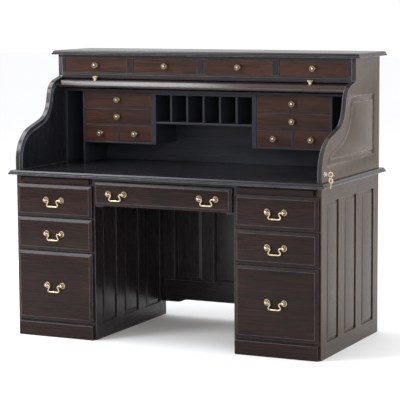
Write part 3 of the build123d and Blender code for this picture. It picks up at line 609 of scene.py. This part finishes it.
def join_flats(bm):
    """Joins the triangles that lie in one plane."""
    bmesh.ops.dissolve_limit(bm, angle_limit=math.radians(0.5), verts=bm.verts, edges=bm.edges)


def gallery_half(node, side, word, keep, material):
    """The part of a side that lies outside (keep 1) or inside (-1) the line between its painted lit and
    painted shaded colours.
    """
    bm = merged_copy(node)
    join_flats(bm)
    ease(bm, [e for e in bm.edges if e.calc_face_angle(0) > 0.7], 2.0)
    everything = list(bm.verts) + list(bm.edges) + list(bm.faces)
    made = bmesh.ops.bisect_plane(bm, geom=everything, plane_co=(side * LIT_SHADE_SPLIT * MM, 0, 0),
                                  plane_no=(side * keep, 0, 0), clear_inner=True)
    rim = [g for g in made["geom_cut"] if isinstance(g, bmesh.types.BMEdge)]
    bmesh.ops.triangle_fill(bm, use_beauty=True, edges=rim)
    bmesh.ops.recalc_face_normals(bm, faces=bm.faces)
    bench = Bench()
    bench.lay(bm, "z")
    bench.finish(f"{node}_{word}", "root", material, "mahogany", node, smooth=20)


for node, side in (("gallery_left", -1), ("gallery_right", 1)):
    # Inner half dark and cool as painted shade, with painted highlight edges; outer half lighter and
    # browner, painted as lit.
    gallery_half(node, side, "inner", -1, SCROLL)
    gallery_half(node, side, "outer", 1, LIT_SIDES)

# %% [markdown]
# The gallery is closed behind by three panels under a light frame, and roofed by the drawer case.
# The case front is a face frame: two long rails and five stiles round four drawers, with runners
# and dust boards behind it, and a thin lip hangs under its front edge.

# %% Gallery back and drawer case
SPAN = 719
DESK_TOP, CASE_TOP = 750, 1253
CASE_FRONT, CASE_BACK, FACE_THICK = 46, 337, 22
CASE_FLOOR, CASE_SILL, CASE_HEAD = 1163, 1171, 1240
PANEL_BACK = CASE_BACK + 4
back = Bench()
back.plank(-SPAN, SPAN, CASE_BACK, PANEL_BACK, DESK_TOP, CASE_TOP, "x")
for z0, z1 in ((DESK_TOP, 820), (CASE_FLOOR, CASE_TOP)):
    back.plank(-SPAN, SPAN, PANEL_BACK, BACK, z0, z1, "x")
for x0, x1 in ((-SPAN, -649), (-275, -205), (205, 275), (649, SPAN)):
    back.plank(x0, x1, PANEL_BACK, BACK, 820, CASE_FLOOR, "z")
back.finish("gallery_back_boards", "root", MAHOGANY, "mahogany", "gallery_back")

CASE_BAYS = ((-705, -379), (-346, -20), (20, 346), (379, 705))
face_back = CASE_FRONT + FACE_THICK
case = Bench()
case.plank(-SPAN, SPAN, CASE_FRONT, CASE_BACK, CASE_FLOOR - 10, CASE_FLOOR, "x")
case.plank(-SPAN, SPAN, CASE_FRONT, face_back, CASE_FLOOR, CASE_SILL, "x")
case.plank(-SPAN, SPAN, CASE_FRONT, CASE_FRONT + 6, 1145.5, 1154, "x", 0.6)
case.plank(-SPAN, SPAN, CASE_FRONT, face_back, CASE_HEAD, CASE_TOP, "x")
for x0, x1 in ((-SPAN, -705), (-379, -346), (-20, 20), (346, 379), (705, SPAN)):
    middle = (x0 + x1) / 2
    case.plank(x0, x1, CASE_FRONT, face_back, CASE_SILL, CASE_HEAD, "z")
    case.plank(middle - 6, middle + 6, face_back, CASE_BACK, CASE_FLOOR, CASE_TOP, "y")
for x0, x1 in CASE_BAYS:
    for a, b in ((x0, x0 + 16), (x1 - 16, x1)):
        case.plank(a, b, face_back, CASE_BACK, CASE_FLOOR, CASE_SILL + 1, "y")
case.finish("drawer_case_boards", "root", MAHOGANY, "mahogany", "drawer_case")

# %% [markdown]
# The pigeonhole unit is light cabinet work: thin boards housed into each other, with a tall slot
# at each end, a bank of four small drawers beside it and six upright holes in the middle. The
# front edges of the dividers are rounded, because papers and sleeves rub on them.

# %% Pigeonhole unit
HOLE_END, BANK_START, BANK_END, SLOT_START = 241, 262, 614, 624
BANK_FLOOR, HOLE_FLOOR, VALANCE, ROOF = 844, 950, 1072, 1084
HOLE_PITCH = 82
near, far = 64, 275
unit = Bench()
unit.plank(-SPAN, SPAN, near, far + 5, ROOF, ROOF + 11, "x")
unit.plank(-SPAN, SPAN, far, far + 5, DESK_TOP, ROOF, "x")
for side in (-1, 1):
    unit.plank(side * SPAN, side * (SPAN - 12), near, far, DESK_TOP, ROOF, "z", 1.5)
    unit.plank(side * BANK_END, side * SLOT_START, near, far, DESK_TOP, ROOF, "z", 1.5)
    unit.plank(side * HOLE_END, side * BANK_START, near, far, BANK_FLOOR, ROOF, "z", 1.5)
    unit.plank(side * BANK_START, side * BANK_END, near, far, BANK_FLOOR, BANK_FLOOR + 8, "x", 1.5)
    for shelf in (1006, 928):
        unit.plank(side * BANK_START, side * BANK_END, near, far, shelf, shelf + 4, "x")
    unit.plank(side * 434, side * 442, near, far, BANK_FLOOR + 8, 928, "z")
unit.plank(-HOLE_END, HOLE_END, near, far, HOLE_FLOOR - 10, HOLE_FLOOR, "x", 2.0)
unit.plank(-HOLE_END, HOLE_END, near, near + 12, VALANCE, ROOF, "x", 1.5)
for i in range(5):
    middle = (i - 2) * HOLE_PITCH
    unit.plank(middle - 5, middle + 5, near + 2, far, HOLE_FLOOR, VALANCE, "z", 2.5)
    unit.plank(middle - 5, middle + 5, near + 12, far, VALANCE, ROOF, "z")
unit.finish("pigeonhole_boards", "root", INSIDE, "inside_wood", "pigeonhole_unit")
print("pigeonholes", unit.count, "boards")

# %% [markdown]
# A drawer is a decorated front on a plain box of pale secondary wood. The pedestal drawers have
# overlay fronts with a sloped border, which hide the gap round them; the small drawers are set
# flush inside their openings with an eased edge. The box has two sides, a back and a bottom.

# %% Drawers
OVERLAY, BORDER, SLOPE = 12.5, 13, 6.5


def overlay_front(name, body, x0, x1, z0, z1):
    """Front that covers its opening, with a border that slopes up to the field."""
    front = Bench()
    corners = (x0, x1, FRONT - OVERLAY, FRONT, z0, z1)
    front.fielded(corners, (0, -1, 0), 0, BORDER, SLOPE, "x", 0.7)
    front.finish(name + "_front", body, FRONTS, "drawer_fronts", name)


def drawer_box(name, body, x0, x1, y0, y1, z0, z1, wall, bottom, lift):
    """Sides, back and bottom of a drawer, behind its front."""
    box = Bench()
    low, high = min(x0, x1), max(x0, x1)
    for a, b in ((low, low + wall), (high - wall, high)):
        box.plank(a, b, y0, y1, z0, z1, "y", 1.2)
    box.plank(low + wall, high - wall, y1 - wall, y1, z0, z1 - 6, "x", 1.2)
    box.plank(low + wall, high - wall, y0, y1 - wall, z0 + lift, z0 + lift + bottom, "x", 0.5)
    box.finish(name + "_box", body, PALE, "box_wood")


PEDESTAL_BOXES = {"top": (555, 680), "middle": (403, 533), "file": (84, 381)}
for word, side in (("left", -1), ("right", 1)):
    for name, (z0, z1) in PEDESTAL_BOXES.items():
        node = f"drawer_{word}_{name}"
        low, high = (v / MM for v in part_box(node))
        overlay_front(node, node, low.x, high.x, low.z, high.z)
        drawer_box(node, node, side * 360.5, side * 715.5, FRONT, 250, z0, z1, wall=12, bottom=6, lift=8)

overlay_front("centre_drawer", "centre_drawer", -334, 334, 608, 714)
drawer_box("centre_drawer", "centre_drawer", -311, 311, FRONT, 150, 618, 706, wall=12, bottom=6, lift=8)

# %% Writing slides
for word, side in (("left", -1), ("right", 1)):
    slide = Bench()
    strip = box_shape(side * ROOM[0], side * 706, FRONT - 16, FRONT, 697, 721)
    rim = list(facing(strip, (0, -1, 0)).edges)
    bmesh.ops.bevel(strip, geom=rim, offset=3 * MM, segments=3, profile=0.5, affect="EDGES",
                    material=-1)
    slide.lay(strip, "x")
    slide.plank(side * (ROOM[0] + 3), side * (ROOM[1] - 3), FRONT, 180, 699, 715, "x")
    body = f"writing_slide_{word}"
    slide.finish(body + "_boards", body, FRONTS, "mahogany", body)

# %% [markdown]
# The knobs are turned brass: a small rose, a waist, and a mushroom head whose face is cut with a
# groove round a low button. A profile of radius against height is spun once round, and the same
# mesh is set on each small drawer.

# %% Turning
def turned(profile, steps=32):
    """Spins a (radius, height) profile in millimetres round +z into a closed mesh."""
    bm = fresh()
    last = None
    for radius, height in profile:
        new = bm.verts.new((radius * MM, 0, height * MM))
        if last:
            bm.edges.new((last, new))
        last = new
    bmesh.ops.spin(bm, geom=list(bm.verts) + list(bm.edges), cent=(0, 0, 0), axis=(0, 0, 1),
                   dvec=(0, 0, 0), angle=2 * math.pi, steps=steps, use_merge=True)
    bmesh.ops.remove_doubles(bm, verts=bm.verts, dist=1e-6)
    bmesh.ops.recalc_face_normals(bm, faces=bm.faces)
    return bm


def tarnish(bm, inner, outer, above):
    """Marks a turned groove, by radius and height in millimetres, as out of reach of polish."""
    mark = bm.faces.layers.float["arris"]
    for face in bm.faces:
        middle = face.calc_center_median() / MM
        if inner < math.hypot(middle.x, middle.y) < outer and middle.z > above:
            face[mark] = 1.0
    return bm


def to_mesh(bm, name):
    mesh = bpy.data.meshes.new(name)
    bm.to_mesh(mesh)
    bm.free()
    return mesh


FRONTWARDS = Matrix.Rotation(math.pi / 2, 4, "X")
KNOB = ((0, 0), (9.4, 0), (9.4, 1.0), (8.6, 2.0), (6.6, 2.4), (5.0, 3.4), (4.2, 5.0), (4.2, 8.2),
        (5.8, 10.6), (9.6, 12.8), (12.4, 14.8), (13.0, 16.4), (12.7, 18.0), (11.8, 19.2), (10.8, 19.2),
        (10.0, 18.2), (9.2, 16.4), (7.4, 16.2), (6.8, 17.4), (6.2, 20.4), (5.2, 21.8), (3.8, 22.6),
        (2.0, 22.9), (0, 23))
knob_mesh = to_mesh(tarnish(turned(KNOB), 6.3, 10.2, 15), "knob")


def set_knob(name, body, x, y, z):
    mesh = knob_mesh.copy()
    mesh.transform(Matrix.Translation(Vector((x, y, z)) * MM) @ FRONTWARDS)
    return place_mesh(mesh, name, body, BRASS, "brass", smooth=32)


# %% Small drawers
def small_drawer(node, x0, x1, face, thick, depth_y, wall, bottom):
    """Flush front with an eased rim, its box and its knob."""
    low, high = (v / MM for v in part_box(node))
    front = Bench()
    board = box_shape(x0, x1, face, face + thick, low.z, high.z)
    ease(board, facing(board, (0, -1, 0)).edges, 1.8, 3)
    front.lay(board, "x")
    # Small fronts take the lighter front colour, painted as lit.
    front.finish(node + "_front", node, LIT_SMALL_FRONTS, "drawer_fronts", node)
    drawer_box(node, node, x0, x1, face + thick, depth_y, low.z, high.z - 4, wall, bottom, bottom)
    set_knob(node + "_knob", node, (x0 + x1) / 2, face, (low.z + high.z) / 2)


for i in range(4):
    node = f"case_drawer_{i + 1}"
    low, high = (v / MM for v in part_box(node))
    small_drawer(node, low.x, high.x, 48, 16, 284, 10, 5)
for word in ("left", "right"):
    for name in ("upper", "lower", "small_in", "small_out"):
        node = f"bank_{word}_{name}"
        low, high = (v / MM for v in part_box(node))
        small_drawer(node, low.x, high.x, 65, 12, 262, 8, 4)
print("twelve small drawers set")

# %% [markdown]
# The larger drawers hang on swan neck bails. Each bail is a cast bar with two pins that turn in
# bored posts, necks that curl in, and a grip that is a little thicker in the middle. A bar of
# changing thickness along a smooth line is what a curve with a bevel gives, so the bail starts as
# a curve and is then turned into a mesh.

# %% Bails and posts
POST = ((0, 0), (13.5, 0), (13.5, 1.0), (12.8, 2.0), (11.9, 2.0), (11.2, 3.0), (9.8, 3.2), (8.4, 2.4),
        (7.4, 2.6), (6.2, 3.8), (5.0, 5.6), (5.0, 7.4), (6.2, 8.8), (6.8, 11.0), (6.9, 13.0),
        (6.5, 15.6), (5.2, 17.8), (2.8, 19.3), (0, 19.8))
post_mesh = to_mesh(tarnish(turned(POST, 28), 6.5, 11.0, 1.5), "post")

NECK = ((-42.5, 0, 1.0), (-34, 0, 1.0), (-26, -0.1, 0.95), (-20.5, -2.6, 0.92), (-20.8, -9, 0.95),
        (-25.5, -15, 1.0), (-28.6, -21.5, 1.05), (-25.5, -27.2, 1.08), (-17, -28.9, 1.1),
        (-8, -28.2, 1.2), (0, -28.6, 1.28))


PIN_RADIUS, POST_APART, BAIL_STANDS = 2.8, 78, 13


def bail_shape():
    """One bail round the origin, pins along x, as a mesh."""
    points = list(NECK) + [(-x, z, r) for x, z, r in reversed(NECK[:-1])]
    curve = bpy.data.curves.new("bail", "CURVE")
    curve.dimensions = "3D"
    curve.bevel_depth = PIN_RADIUS * MM
    curve.bevel_resolution = 4
    curve.resolution_u = 6
    curve.use_fill_caps = True
    spline = curve.splines.new("NURBS")
    spline.points.add(len(points) - 1)
    for point, (x, z, r) in zip(spline.points, points):
        point.co = (x * MM, 0, z * MM, 1)
        point.radius = r
    spline.order_u = 3
    spline.use_endpoint_u = True
    carrier = bpy.data.objects.new("bail", curve)
    bpy.context.scene.collection.objects.link(carrier)
    bpy.context.view_layer.update()
    mesh = bpy.data.meshes.new_from_object(carrier)
    bpy.data.objects.remove(carrier)
    return mesh


bail_mesh = bail_shape()
print("bail", len(bail_mesh.polygons), "faces")


def set_bail(bail, posts_name, body, posts_nodes):
    """Posts on the drawer, bail on its own body, both placed from the bail's CAD box."""
    low, high = (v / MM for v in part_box(bail))
    x, y, z = (low.x + high.x) / 2, (low.y + high.y) / 2, high.z - PIN_RADIUS
    mesh = bail_mesh.copy()
    mesh.transform(Matrix.Translation(Vector((x, y, z)) * MM))
    place_mesh(mesh, bail + "_bar", bail, BRASS, "brass", bail, smooth=60)
    for i, side in enumerate((-1, 1)):
        mesh = post_mesh.copy()
        foot = Vector((x + side * POST_APART / 2, y + BAIL_STANDS, z)) * MM
        mesh.transform(Matrix.Translation(foot) @ FRONTWARDS)
        place_mesh(mesh, f"{posts_name}_{i + 1}", body, BRASS, "brass", *posts_nodes, smooth=32)


for word in ("left", "right"):
    for name in ("top", "middle", "file"):
        set_bail(f"bail_{word}_{name}", f"post_{word}_{name}", f"drawer_{word}_{name}",
                 [f"posts_{word}_{name}"])
    set_bail(f"bail_centre_{word}", f"post_centre_{word}", "centre_drawer", ["posts_centre"])

# %% [markdown]
# The roll top is a curtain of slats glued to canvas, led by a heavier lift rail with two brass
# finger pulls. When it is open the rail rests under the drawer case with its outer face to the
# sky, and the slope planed along its foot shows as a bright strip. The rail's place is read from its
# CAD box, in a frame that is turned with it.

# %% Lift rail and finger pulls
rail_low, rail_high = (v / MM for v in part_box("lift_rail"))
RAIL_TURN = math.radians(75)
RAIL_TALL = 55
RAIL_THICK = 24
rail_z = rail_low.z + RAIL_THICK * math.sin(RAIL_TURN)
rail_y = rail_high.y - RAIL_TALL * math.sin(RAIL_TURN) - RAIL_THICK * math.cos(RAIL_TURN)
rail_place = Matrix.Translation(Vector((0, rail_y, rail_z)) * MM) @ Matrix.Rotation(-RAIL_TURN, 4, "X")
half_rail = (rail_high.x - rail_low.x) / 2
print("rail foot", round(rail_y, 1), round(rail_z, 1), "half length", round(half_rail, 1))

foot_deep, foot_tall, round_over = 13, 20, 3.5
section = Walk(foot_deep, 0, 0, flat="x", level=-half_rail)
section.to(RAIL_THICK, 0)
section.to(RAIL_THICK, RAIL_TALL)
section.to(round_over, RAIL_TALL)
section.heading = 180
section.turn(round_over, 90, 5)
section.to(0, foot_tall)
section.to(foot_deep, 0)
bar = section.board(2 * half_rail)
ease(bar, [e for e in bar.edges if e.calc_face_angle(0) > 0.3], 0.9)
bmesh.ops.transform(bar, matrix=rail_place, verts=bar.verts)
rail_bench = Bench()
rail_bench.lay(bar, "x")
rail_bench.finish("lift_rail_board", "lift_rail", TAMBOUR, "tambour", "lift_rail", smooth=24)

PULL_X = 535
PULL_WIDE = 28
PULL_STEM = 0.34
PULL_PLATE = 2.4
FLARE_FROM, FLARE_RUN = 3, 13
HOOK = ((0, 51), (-PULL_PLATE, 51), (-PULL_PLATE, 42), (-5.5, 38.6), (-9.5, 37.6), (-13.5, 39.2),
        (-17.4, 43.4), (-18.8, 42.4), (-17.8, 38.0), (-14.6, 33.8), (-9.5, 31.2), (-PULL_PLATE, 29.4),
        (-PULL_PLATE, 27), (0, 27))
SCREW = ((0, 0), (2.2, 0), (2.2, 0.3), (1.6, 0.9), (0.5, 1.2), (0, 1.2))
fittings = Bench()
for x in (-PULL_X, PULL_X):
    pull = Walk(0, 27, 90, flat="x", level=x - PULL_WIDE / 2)
    for u, v in HOOK:
        pull.to(u, v)
    hook = pull.board(PULL_WIDE)
    for vert in hook.verts:
        flare = min(1.0, max(0.0, (-vert.co.y / MM - FLARE_FROM) / FLARE_RUN))
        narrow = PULL_STEM + (1 - PULL_STEM) * flare * flare
        vert.co.x = x * MM + (vert.co.x - x * MM) * narrow
    ease(hook, [e for e in hook.edges if e.calc_face_angle(0) > 0.5], 0.5)
    # The hook's downward faces near its middle are marked dark, as painted shade under the lip.
    mark = hook.faces.layers.float["arris"]
    for face in hook.faces:
        middle = face.calc_center_median() / MM
        painted_shade_zone = -16.5 < middle.y < -7 and abs(middle.x - x) < 11
        face[mark] = 1.0 if painted_shade_zone and face.normal.z < -0.2 else 0.0
    bmesh.ops.transform(hook, matrix=rail_place, verts=hook.verts)
    fittings.lay(hook, "x")
    screw = turned(SCREW, 14)
    seat = rail_place @ Matrix.Translation(Vector((x, -PULL_PLATE, 47)) * MM) @ FRONTWARDS
    bmesh.ops.transform(screw, matrix=seat, verts=screw.verts)
    fittings.lay(screw, "x")
keeper = box_shape(half_rail - 45.8, half_rail - 16.2, 13, 21, 0.2, 2)
bmesh.ops.transform(keeper, matrix=rail_place, verts=keeper.verts)
fittings.lay(keeper, "x")
fittings.finish("rail_fittings_cast", "lift_rail", BRASS, "brass", "rail_fittings", smooth=32)

# %% [markdown]
# Behind the rail come twenty eight slats in seven strips. Each slat is a flat strip of mahogany
# with a crowned outer face, and the strips' canvas keeps them together. The frame holds them where
# they are stowed, behind the drawer case and down the back, so a merged copy of each slat keeps
# the true place, with wood and canvas told apart by how far they reach to the side.

# %% Slats and canvas
def loose_parts(bm):
    """Groups of vertices that hang together."""
    left, groups = set(bm.verts), []
    while left:
        queue, group = [left.pop()], []
        while queue:
            vert = queue.pop()
            group.append(vert)
            for edge in vert.link_edges:
                other = edge.other_vert(vert)
                if other in left:
                    left.remove(other)
                    queue.append(other)
        groups.append(group)
    return groups


CANVAS_REACH = 715


def tambour_strip(node):
    """Slats and canvas of one strip as two pieces."""
    for kind in ("slats", "canvas"):
        bm = merged_copy(node)
        for group in loose_parts(bm):
            is_slat = max(v.co.x for v in group) > CANVAS_REACH * MM
            if is_slat != (kind == "slats"):
                bmesh.ops.delete(bm, geom=group, context="VERTS")
        join_flats(bm)
        bench = Bench()
        bench.lay(bm, "x")
        if kind == "slats":
            bench.finish(node + "_slats", node, TAMBOUR, "tambour", node, smooth=35)
        else:
            bench.finish(node + "_canvas", node, CANVAS, "canvas")


for i in range(7):
    tambour_strip(f"tambour_{i + 1}")
print("slats laid")

# %% [markdown]
# The lock is a satin nickel cylinder through the right gallery side, and its brass key is left in
# it with a spare on a split ring. Turned parts are spun from profiles, and the bows are flattened
# rings.

# %% Lock and keys
SIDEWAYS = Matrix.Rotation(math.pi / 2, 4, "Y")
barrel_low, barrel_high = (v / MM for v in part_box("lock_barrel"))
lock_y, lock_z = (barrel_low.y + barrel_high.y) / 2, (barrel_low.z + barrel_high.z) / 2
SIDE_FACE = 741
out = barrel_high.x - SIDE_FACE
BARREL = ((0, -21), (7.8, -21), (7.8, 0.2), (10.4, 0.2), (10.4, 2.0), (9.6, 2.7), (7.8, 2.7),
          (7.8, out - 1.2), (6.8, out), (5.6, out), (5.4, out - 0.8), (2.8, out - 0.8), (2.8, -6),
          (0, -6))
barrel = to_mesh(turned(BARREL, 36), "barrel")
barrel.transform(Matrix.Translation(Vector((SIDE_FACE, lock_y, lock_z)) * MM) @ SIDEWAYS)
place_mesh(barrel, "lock_cylinder", "root", NICKEL, "nickel", "lock_barrel", smooth=32)


def ring(major, minor, flatten):
    """A rounded ring in the xz plane, flattened across it."""
    bm = fresh()
    bmesh.ops.create_circle(bm, segments=12, radius=minor * MM)
    bmesh.ops.translate(bm, vec=(major * MM, 0, 0), verts=bm.verts)
    turn = Matrix.Rotation(math.pi / 2, 4, "X")
    bmesh.ops.transform(bm, matrix=turn, verts=bm.verts)
    bmesh.ops.spin(bm, geom=list(bm.verts) + list(bm.edges), cent=(0, 0, 0), axis=(0, 0, 1),
                   dvec=(0, 0, 0), angle=2 * math.pi, steps=36, use_merge=True)
    bmesh.ops.remove_doubles(bm, verts=bm.verts, dist=1e-6)
    bmesh.ops.scale(bm, vec=(1, 1, flatten), verts=bm.verts)
    bmesh.ops.transform(bm, matrix=turn, verts=bm.verts)
    bmesh.ops.recalc_face_normals(bm, faces=bm.faces)
    return bm


SHANK = ((0, 0), (2.3, 0), (2.3, 14.5), (3.5, 15.5), (3.5, 18), (2.4, 19), (2.3, 22), (2.9, 24), (0, 24))
BOW_RADIUS = 11.5
BOW_THICK = 2.6
BOW_AT = 33
KEY_X = 737


def key_parts(bench, bow_hole, place):
    """Shank, collar and bow of a key that lies along +x, then set in place."""
    shank = turned(SHANK, 20)
    bmesh.ops.transform(shank, matrix=place @ SIDEWAYS, verts=shank.verts)
    bench.lay(shank, "x")
    width = BOW_RADIUS - bow_hole
    bow = ring((BOW_RADIUS + bow_hole) / 2, width / 2, BOW_THICK / width)
    bmesh.ops.transform(bow, matrix=place @ Matrix.Translation((BOW_AT * MM, 0, 0)), verts=bow.verts)
    bench.lay(bow, "x")


key = Bench()
key_hole, spare_hole = 6.5, 4.0
key_parts(key, key_hole, Matrix.Translation(Vector((KEY_X, lock_y, lock_z)) * MM))
key.finish("key_cast", "key", BRASS, "brass", "key", smooth=35)

spare = Bench()
bow_x = KEY_X + BOW_AT
loop_radius, wire, loop_rise, bow_drop = 10, 0.9, 2.4, 4.2
ring_z = lock_z - key_hole + wire - loop_radius + loop_rise
hang_z = ring_z - loop_radius + wire - bow_drop - BOW_AT
loop = ring(loop_radius, wire, 1.0)
across = Matrix.Rotation(math.pi / 2, 4, "Z")
turn_ring = Matrix.Translation(Vector((bow_x, lock_y, ring_z)) * MM) @ across
bmesh.ops.transform(loop, matrix=turn_ring, verts=loop.verts)
spare.lay(loop, "x")
downwards = Matrix.Rotation(-math.pi / 2, 4, "Y")
hang = Matrix.Translation(Vector((bow_x, lock_y, hang_z)) * MM) @ downwards
key_parts(spare, spare_hole, hang)
spare.finish("spare_key_cast", "spare_key", BRASS, "brass", "spare_key", smooth=35)
print("lock at", round(lock_y, 1), round(lock_z, 1))

# %% [markdown]
# Dark lacquer shows what it reflects more than its own colour, so the light is set like a furniture
# studio: a pale room, a soft light high on the left that the lift rail mirrors, a key from the left
# front that catches the drawer bevels and throws short shadows to the right of the knobs, a faint
# fill from the front that reaches into the pigeonholes, a warm panel at the right rear that the
# right side mirrors at a flat angle, and a tall strip at the right for the borders of its panels.

# %% Floor, light and camera
floor_bm = bmesh.new()
bmesh.ops.create_grid(floor_bm, x_segments=4, y_segments=4, size=30)
floor = bpy.data.objects.new("floor", to_mesh(floor_bm, "floor"))
bpy.context.scene.collection.objects.link(floor)
pale = Tree("pale_floor")
pale.feed(Base_Color=(0.94, 0.94, 0.94, 1.0), Roughness=0.8)
floor.data.materials.append(pale.material)
floor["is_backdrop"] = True

world = bpy.data.worlds.new("room")
world.use_nodes = True
world.node_tree.nodes["Background"].inputs[0].default_value = (0.985, 0.99, 1.0, 1.0)
world.node_tree.nodes["Background"].inputs[1].default_value = 1.04
bpy.context.scene.world = world


def soft_light(name, where, aim, wide, tall, watts, colour):
    light = bpy.data.lights.new(name, "AREA")
    light.shape = "RECTANGLE"
    light.size, light.size_y = wide, tall
    light.energy = watts
    light.color = colour
    holder = bpy.data.objects.new(name, light)
    bpy.context.scene.collection.objects.link(holder)
    holder.location = where
    way = Vector(aim) - Vector(where)
    holder.rotation_euler = way.to_track_quat("-Z", "Y").to_euler()


soft_light("overhead", (-2.5, -0.4, 4.4), (-0.8, -0.1, 0.9), 2.4, 2.0, 135, (0.88, 0.95, 1.0))
soft_light("key", (-2.9, -3.2, 3.4), (0.0, -0.2, 0.6), 1.7, 1.5, 128, (0.95, 0.96, 1.0))
soft_light("fill", (3.0, -6.4, 2.3), (0.0, 0.0, 0.8), 1.4, 1.4, 85, (0.93, 0.97, 1.0))
soft_light("right_panel", (2.9, 4.0, 1.55), (0.7, 0.0, 0.8), 4.2, 3.0, 12, (1.0, 0.72, 0.55))
soft_light("right_strip", (3.7, 1.7, 1.7), (0.74, 0.0, 0.8), 1.3, 3.2, 52, (0.95, 0.96, 1.0))

camera_data = bpy.data.cameras.new("camera")
camera_data.sensor_width = 36.0
camera_data.lens = 153.9
camera_data.clip_end = 100
camera = bpy.data.objects.new("camera", camera_data)
bpy.context.scene.collection.objects.link(camera)
eye, turned_left, tilted_down, rolled = (3.3285, -6.9034, 1.5517), 25.66, 7.026, -0.344
camera.matrix_world = (Matrix.Translation(eye)
                       @ Matrix.Rotation(math.radians(turned_left), 4, "Z")
                       @ Matrix.Rotation(math.radians(90 - tilted_down), 4, "X")
                       @ Matrix.Rotation(math.radians(rolled), 4, "Z"))
bpy.context.scene.camera = camera
bpy.context.scene.view_settings.view_transform = "Standard"

# %% Sizes
low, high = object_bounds()
print("visual box", [round(v, 3) for v in (*low, *high)])
